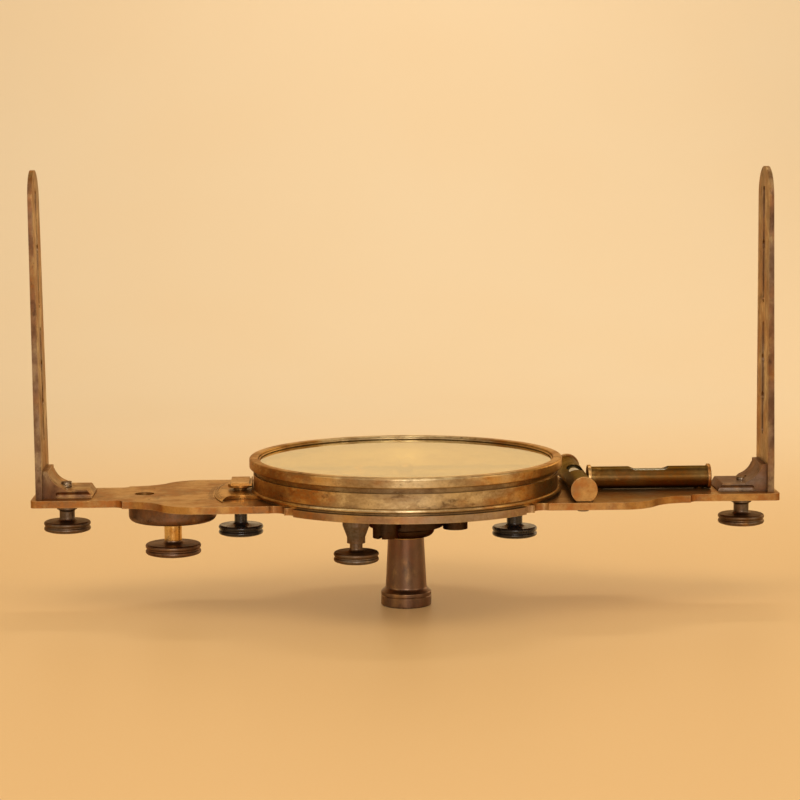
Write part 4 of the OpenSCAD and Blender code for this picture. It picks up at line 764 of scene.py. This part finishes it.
class StageOperator(Operator):
    """Lays the floor and backdrop, and sets up the lights and the camera"""

    bl_idname = "compass.set_stage"
    bl_label = "Stage"

    def execute(self, context):
        s = studio()
        self.backdrop()
        self.camera(s)
        warm, paler, pale = colours().lamp, colours().front_lamp, colours().wall_lamp
        light("key", (-0.1, -0.6, 1.0), (0, -0.05, 0.05), (1.3, 0.6), s.key_power, warm)
        light("front", (0.0, -1.75, 0.55), (0, 0, 0.05), (0.8, 0.35), s.front_power, paler, False)
        light("left", (-1.1, -0.7, 0.5), (0, 0, 0.03), (0.6, 0.6), s.left_power, warm, False)
        light("right", (1.1, -0.7, 0.5), (0, 0, 0.03), (0.6, 0.6), s.right_power, warm, False)
        light("rim", (0.95, 0.75, 0.35), (0.1, 0, 0.05), (0.6, 0.5), s.rim_power, warm, False)
        light("wall", (0.12, 0.55, 1.05), (0.08, 1.35, 0.2), (0.5, 0.35), s.wall_power, pale)
        world = bpy.data.worlds.new("room")
        context.scene.world = world
        world.use_nodes = True
        back = world.node_tree.nodes["Background"]
        back.inputs["Color"].default_value = (*colours().lamp, 1)
        back.inputs["Strength"].default_value = s.room_light
        context.scene.view_settings.view_transform = "Standard"
        return {"FINISHED"}

    def backdrop(self):
        """A floor that turns up into a wall through a wide curve."""
        no_pick()
        bpy.ops.mesh.primitive_plane_add(size=1, location=(0, 0, 0))
        floor = newest()
        floor.scale = (9, 7, 1)
        floor.location = (0, -2, 0)
        settle(floor)
        bpy.ops.object.mode_set(mode="EDIT")
        bpy.ops.mesh.select_mode(type="EDGE")
        bpy.ops.mesh.select_all(action="DESELECT")
        bpy.ops.object.mode_set(mode="OBJECT")
        back = max(v.co.y for v in floor.data.vertices)
        for edge in floor.data.edges:
            ends = [floor.data.vertices[i].co.y for i in edge.vertices]
            edge.select = min(ends) > back - MM
        bpy.ops.object.mode_set(mode="EDIT")
        bpy.ops.mesh.extrude_region_move(TRANSFORM_OT_translate={"value": (0, 0, 2.6)})
        bpy.ops.object.mode_set(mode="OBJECT")
        apply_modifier(floor, "BEVEL", width=0.7, segments=24, limit_method="ANGLE",
                       angle_limit=radians(60))
        pick(floor)
        bpy.ops.object.shade_smooth()
        floor.name = "paper_sweep"
        FINISHES["floor"] = floor_paper("floor_paper")
        dress(floor, "floor")

    def camera(self, s):
        """Stands the camera in front, a little to the left, and looks down at the compass."""
        around = Matrix.Rotation(-s.turn, 4, "Z")
        place = around @ Vector((-s.aside, -s.distance, s.height))
        data = bpy.data.cameras.new("camera")
        data.lens = s.focal_length
        data.sensor_width = 36
        data.sensor_fit = "HORIZONTAL"
        camera = bpy.data.objects.new("camera", data)
        bpy.context.scene.collection.objects.link(camera)
        look = (around @ Matrix.Rotation(pi / 2 - s.pitch, 4, "X")
                @ Matrix.Rotation(s.roll, 4, "Z"))
        camera.matrix_world = Matrix.Translation(place) @ look
        bpy.context.scene.camera = camera


def light(name, place, aim, extent, power, colour, shadow=True):
    """A soft rectangular light that shines from a place to a point."""
    data = bpy.data.lights.new(name, "AREA")
    data.shape = "RECTANGLE"
    data.size, data.size_y = extent
    data.energy = power
    data.color = colour
    data.use_shadow = shadow
    lamp = bpy.data.objects.new(name, data)
    bpy.context.scene.collection.objects.link(lamp)
    lamp.location = place
    way = Vector(aim) - Vector(place)
    lamp.rotation_euler = way.to_track_quat("-Z", "Y").to_euler()


class PlateOperator(Operator):
    """Rounds the plate's edges and puts the vernier's fixed scale on it"""

    bl_idname = "compass.dress_plate"
    bl_label = "Plate"

    def execute(self, context):
        s = sizes()
        soften("main_plate", s.large_edge, 3)
        gap_to_tongue = 0.6 * MM
        start = gap_to_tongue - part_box("box_base")[0].x
        top = top_of("main_plate")
        marks = []
        for i in range(-FIXED_LINES, FIXED_LINES + 1):
            length = s.vernier_line * (LONG_LINE if i % 5 == 0 else 1)
            marks.append(line_mark(start, length, s.mark_width, top, top + s.mark_height,
                                   pi + radians(i)))
        place_piece(joined(marks), "plate_scale", "plate", "plate_brass", "filling")
        return {"FINISHED"}


class SocketOperator(Operator):
    """Rounds the edges of the socket, its head and its screws"""

    bl_idname = "compass.dress_socket"
    bl_label = "Socket"

    # Outline of the bright line: how far out of the tube and below the head, in mm
    COLLAR = ((-0.4, 0.7), (0.05, 0.6), (0.12, 0.3), (0.05, 0.02), (-0.4, 0.01))

    def execute(self, context):
        edge = sizes().small_edge
        soften("socket", edge, finish="socket_brass")
        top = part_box("socket_head")[0].z
        radius = sizes().socket_radius
        collar = turned([(radius + out * MM, top - down * MM) for out, down in self.COLLAR],
                        (0, 0), 72, True)
        place_piece(collar, "socket_collar", "plate", "dark_brass", "bright_brass")
        soften("socket_head", edge * 2, finish="black_brass")
        soften("socket_head_screws", edge * 2, finish="black_brass")
        return {"FINISHED"}


class BoxOperator(Operator):
    """Rounds the edges of the compass box and marks the moving vernier"""

    bl_idname = "compass.dress_box"
    bl_label = "Compass box"

    def execute(self, context):
        s = sizes()
        soften("box_base", s.small_edge)
        soften("box_wall", s.small_edge, finish="wall_brass")
        soften("bezel", s.small_edge)
        soften("clamp_block", s.large_edge)
        soften("clamp_washer", s.small_edge * 2)
        inset, gap_below = 0.3 * MM, 0.1 * MM
        end = -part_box("box_base")[0].x - inset
        foot = top_of("main_plate") + gap_below + s.tongue_edge
        slope = (s.tongue_thickness - s.tongue_edge) / s.tongue_bevel
        marks = []
        for i in range(-VERNIER_LINES, VERNIER_LINES + 1):
            length = s.vernier_line * (LONG_LINE if i % 5 == 0 else 1)
            low = foot + slope * (inset + length / 2)
            marks.append(line_mark(end - length, length, s.mark_width, low, low + s.mark_height,
                                   pi + radians(i * VERNIER_STEP), atan(slope)))
        place_piece(joined(marks), "vernier_scale", "compass_box", "box_brass", "filling")
        return {"FINISHED"}


class DialOperator(Operator):
    """Puts the lines, numbers, rose and letters on the degree ring and the dial"""

    bl_idname = "compass.engrave_dial"
    bl_label = "Dial"

    def execute(self, context):
        s = sizes()
        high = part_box("degree_ring")[1]
        top = high.z
        inset = 0.1 * MM
        inner = ring_inner_radius() + inset
        lines = []
        for every, length in ((1, s.degree_line), (5, s.five_line), (10, s.ten_line)):
            mark = line_mark(inner, length, s.mark_width, top, top + s.mark_height)
            lines.append(copies_round(mark, 360 // every))
        place_piece(joined(lines), "degree_lines", "compass_box", "silvered_brass", "filling")
        numbers = []
        middle = high.x - 2.5 * MM
        for degrees in range(0, 360, 10):
            bearing = degrees % 180
            value = bearing if bearing <= 90 else 180 - bearing
            angle = radians(degrees)
            place = (middle * cos(angle), middle * sin(angle))
            numbers.append(number(str(value), s.number_height, place, angle - pi / 2, top,
                                  s.mark_height))
        place_piece(joined(numbers), "degree_numbers", "compass_box", "silvered_brass", "filling")
        self.rose(s, top_of("dial_face"))
        return {"FINISHED"}

    def rose(self, s, top):
        """A plain star of eight points, two rings and four letters."""
        long, short = s.rose_radius, s.rose_radius * 0.72
        heel = 9 * MM
        points = []
        for kind, (reach, half) in enumerate(((long, 5.2 * MM), (short, 4.2 * MM))):
            no_pick()
            bpy.ops.mesh.primitive_circle_add(vertices=3, radius=1, fill_type="NGON")
            point = newest()
            corners = ((heel, 0, 0), (half * 2.2, half, 0), (reach, 0, 0))
            for vertex, corner in zip(point.data.vertices, corners):
                vertex.co = corner
            edit_all(point)
            bpy.ops.mesh.extrude_region_move(
                TRANSFORM_OT_translate={"value": (0, 0, s.mark_height)})
            bpy.ops.mesh.select_all(action="SELECT")
            bpy.ops.mesh.normals_make_consistent(inside=False)
            bpy.ops.object.mode_set(mode="OBJECT")
            point.rotation_euler = (0, 0, kind * pi / 4)
            point.location = (0, 0, top)
            settle(point)
            points.append(copies_round(point, 4))
        for radius in (s.rose_radius * 0.42, s.rose_radius * 0.44):
            points.append(turned_band(radius, 0.25 * MM, top, s.mark_height))
        place = s.rose_radius + s.letter_height * 0.75
        for i, letter in enumerate("SENW"):
            angle = i * pi / 2
            points.append(number(letter, s.letter_height,
                                 (place * cos(angle), place * sin(angle)), angle - pi / 2, top,
                                 s.mark_height))
        place_piece(joined(points), "compass_rose", "compass_box", "silvered_brass", "filling")


def ring_inner_radius():
    """Inner radius of the degree ring, found on its mesh."""
    ring = NODES["degree_ring"]
    return min(sqrt(v.co.x ** 2 + v.co.y ** 2) for v in ring.data.vertices)


def turned_band(radius, width, z, height):
    """A flat ring round the middle of the compass."""
    return turned([(radius, z), (radius, z + height), (radius + width, z + height),
                   (radius + width, z)], (0, 0), 96)


class LevelsOperator(Operator):
    """Rounds the levels' edges and puts the bubbles and their marks in"""

    bl_idname = "compass.dress_levels"
    bl_label = "Levels"

    def execute(self, context):
        s = sizes()
        for level, along in (("long_level", 0), ("cross_level", 1)):
            soften(level + "_tube", s.small_edge)
            soften(level + "_caps", s.small_edge * 2, finish="plate_brass")
            soften(level + "_screws", s.small_edge)
            low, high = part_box(level + "_vial")
            middle = (low + high) / 2
            radius = (high.z - low.z) / 2
            gap_above = 0.3 * MM
            rise = Vector((0, 0, radius - s.bubble_radius - gap_above))
            bubble = self.laid_along(turned(self.bubble_profile(s), (0, 0), 24), along,
                                     middle + rise)
            place_piece(bubble, level + "_bubble", "plate", "vial_glass", "bubble")
            inner, outer, width = radius + 0.01 * MM, radius + 0.05 * MM, 0.3 * MM
            rings = [turned([(inner, z), (outer, z), (outer, z + width), (inner, z + width)],
                            (0, 0), 40, True)
                     for z in (-s.bubble_length / 2, s.bubble_length / 2 - width)]
            marks = self.laid_along(joined(rings), along, middle)
            place_piece(marks, level + "_marks", "plate", "vial_glass", "filling")
        return {"FINISHED"}

    def bubble_profile(self, s):
        """Half of a long drop, from its low end to its top end."""
        half = s.bubble_length / 2
        steps = [radians(a) for a in (-90, -60, -30, -10, 0)]
        end = half - s.bubble_radius
        low = [(s.bubble_radius * cos(a) if a > -pi / 2 else 0.0, -end + s.bubble_radius * sin(a))
               for a in steps]
        return low + [(r, -z) for r, z in reversed(low)]

    def laid_along(self, piece, along, place):
        """Lays an upright piece along X (0) or Y (1) and moves its middle to a place."""
        piece.rotation_euler = (0, pi / 2, 0) if along == 0 else (pi / 2, 0, 0)
        settle(piece)
        piece.location = place
        return settle(piece)


class SightsOperator(Operator):
    """Rounds the edges of the sights, their feet and their screws"""

    bl_idname = "compass.dress_sights"
    bl_label = "Sights"

    def execute(self, context):
        s = sizes()
        for side in ("left", "right"):
            soften(side + "_vane", s.large_edge * 1.3, 3)
            soften(side + "_vane_foot", s.large_edge, 2,
                   finish="plum_brass" if side == "right" else None)
            soften(side + "_vane_screws", s.small_edge)
        return {"FINISHED"}


class ScrewsOperator(Operator):
    """Rounds the thumbscrews' heads and puts rings for the threads that show"""

    bl_idname = "compass.dress_screws"
    bl_label = "Thumbscrews"

    def execute(self, context):
        s = sizes()
        for node in ("left_thumbscrew", "right_thumbscrew", "clamp_screw", "pinion_knob",
                     "lifter_screw", "pinion_bushing", "lifter_bushing"):
            soften(node, s.small_edge)
        for side in ("left", "right"):
            screw = side + "_thumbscrew"
            middle = centre_of(screw)
            thread = self.thread((middle.x, middle.y), top_of(screw), s.thread_pitch)
            place_piece(thread, side + "_thread", NODES[screw]["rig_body"], "dark_brass", "steel")
        return {"FINISHED"}

    def thread(self, centre, top, pitch):
        """Three rings with a sharp crest round the end of a screw."""
        rings, below_top = 3, 0.25 * MM
        root, crest = 2.58 * MM, 2.63 * MM
        profile = []
        z = top - below_top - rings * pitch
        for _ in range(rings):
            profile += [(root, z), (crest, z + pitch * 0.5)]
            z += pitch
        profile.append((root, z))
        return turned(profile, centre, 40)


class OutkeeperOperator(Operator):
    """Rounds the outkeeper's edges and numbers its dial"""

    bl_idname = "compass.dress_outkeeper"
    bl_label = "Outkeeper"

    def execute(self, context):
        s = sizes()
        soften("outkeeper_housing", s.small_edge * 2, finish="plum_brass")
        soften("outkeeper_knob", s.small_edge, finish="plum_brass")
        soften("outkeeper_stem", s.small_edge, finish="bright_brass")
        soften("outkeeper_screw", s.small_edge)
        middle = centre_of("outkeeper_dial")
        top = top_of("outkeeper_dial")
        marks = []
        for i in range(TALLY_COUNT):
            angle = pi + 2 * pi * i / TALLY_COUNT
            place = (middle.x + s.tally_number_place * cos(angle),
                     middle.y + s.tally_number_place * sin(angle))
            marks.append(number(str(i), s.tally_number_height, place, angle - pi / 2, top,
                                s.mark_height))
        place_piece(joined(marks), "tally_numbers", "tally", "silvered_brass", "filling")
        return {"FINISHED"}


class CompassPanel(Panel):
    """Lists the steps that dress the compass, and their settings"""

    bl_idname = "COMPASS_PT_steps"
    bl_label = "Surveyor's compass"
    bl_space_type = "VIEW_3D"
    bl_region_type = "UI"
    bl_category = "Compass"

    def draw(self, context):
        column = self.layout.column()
        for operator in OPERATORS:
            column.operator(operator.bl_idname)
        for group in (context.scene.compass_sizes, context.scene.compass_colours,
                      context.scene.compass_studio):
            box = self.layout.box()
            for key in group.__annotations__:
                box.prop(group, key)


OPERATORS = (
    FinishesOperator,
    PlateOperator,
    SocketOperator,
    BoxOperator,
    DialOperator,
    LevelsOperator,
    SightsOperator,
    ScrewsOperator,
    OutkeeperOperator,
    StageOperator,
)
GROUPS = (CompassSizes, CompassColours, StudioSettings)


def register():
    """Adds the steps, their settings and the panel to Blender."""
    for kind in (*GROUPS, *OPERATORS, CompassPanel):
        bpy.utils.register_class(kind)
    bpy.types.Scene.compass_sizes = PointerProperty(type=CompassSizes)
    bpy.types.Scene.compass_colours = PointerProperty(type=CompassColours)
    bpy.types.Scene.compass_studio = PointerProperty(type=StudioSettings)


def unregister():
    """Takes the steps, their settings and the panel out of Blender."""
    del bpy.types.Scene.compass_sizes, bpy.types.Scene.compass_colours
    del bpy.types.Scene.compass_studio
    for kind in reversed((*GROUPS, *OPERATORS, CompassPanel)):
        bpy.utils.unregister_class(kind)


def main():
    """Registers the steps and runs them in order."""
    register()
    for operator in OPERATORS:
        group, name = operator.bl_idname.split(".")
        getattr(getattr(bpy.ops, group), name)()
    no_pick()


if __name__ == "__main__":
    main()
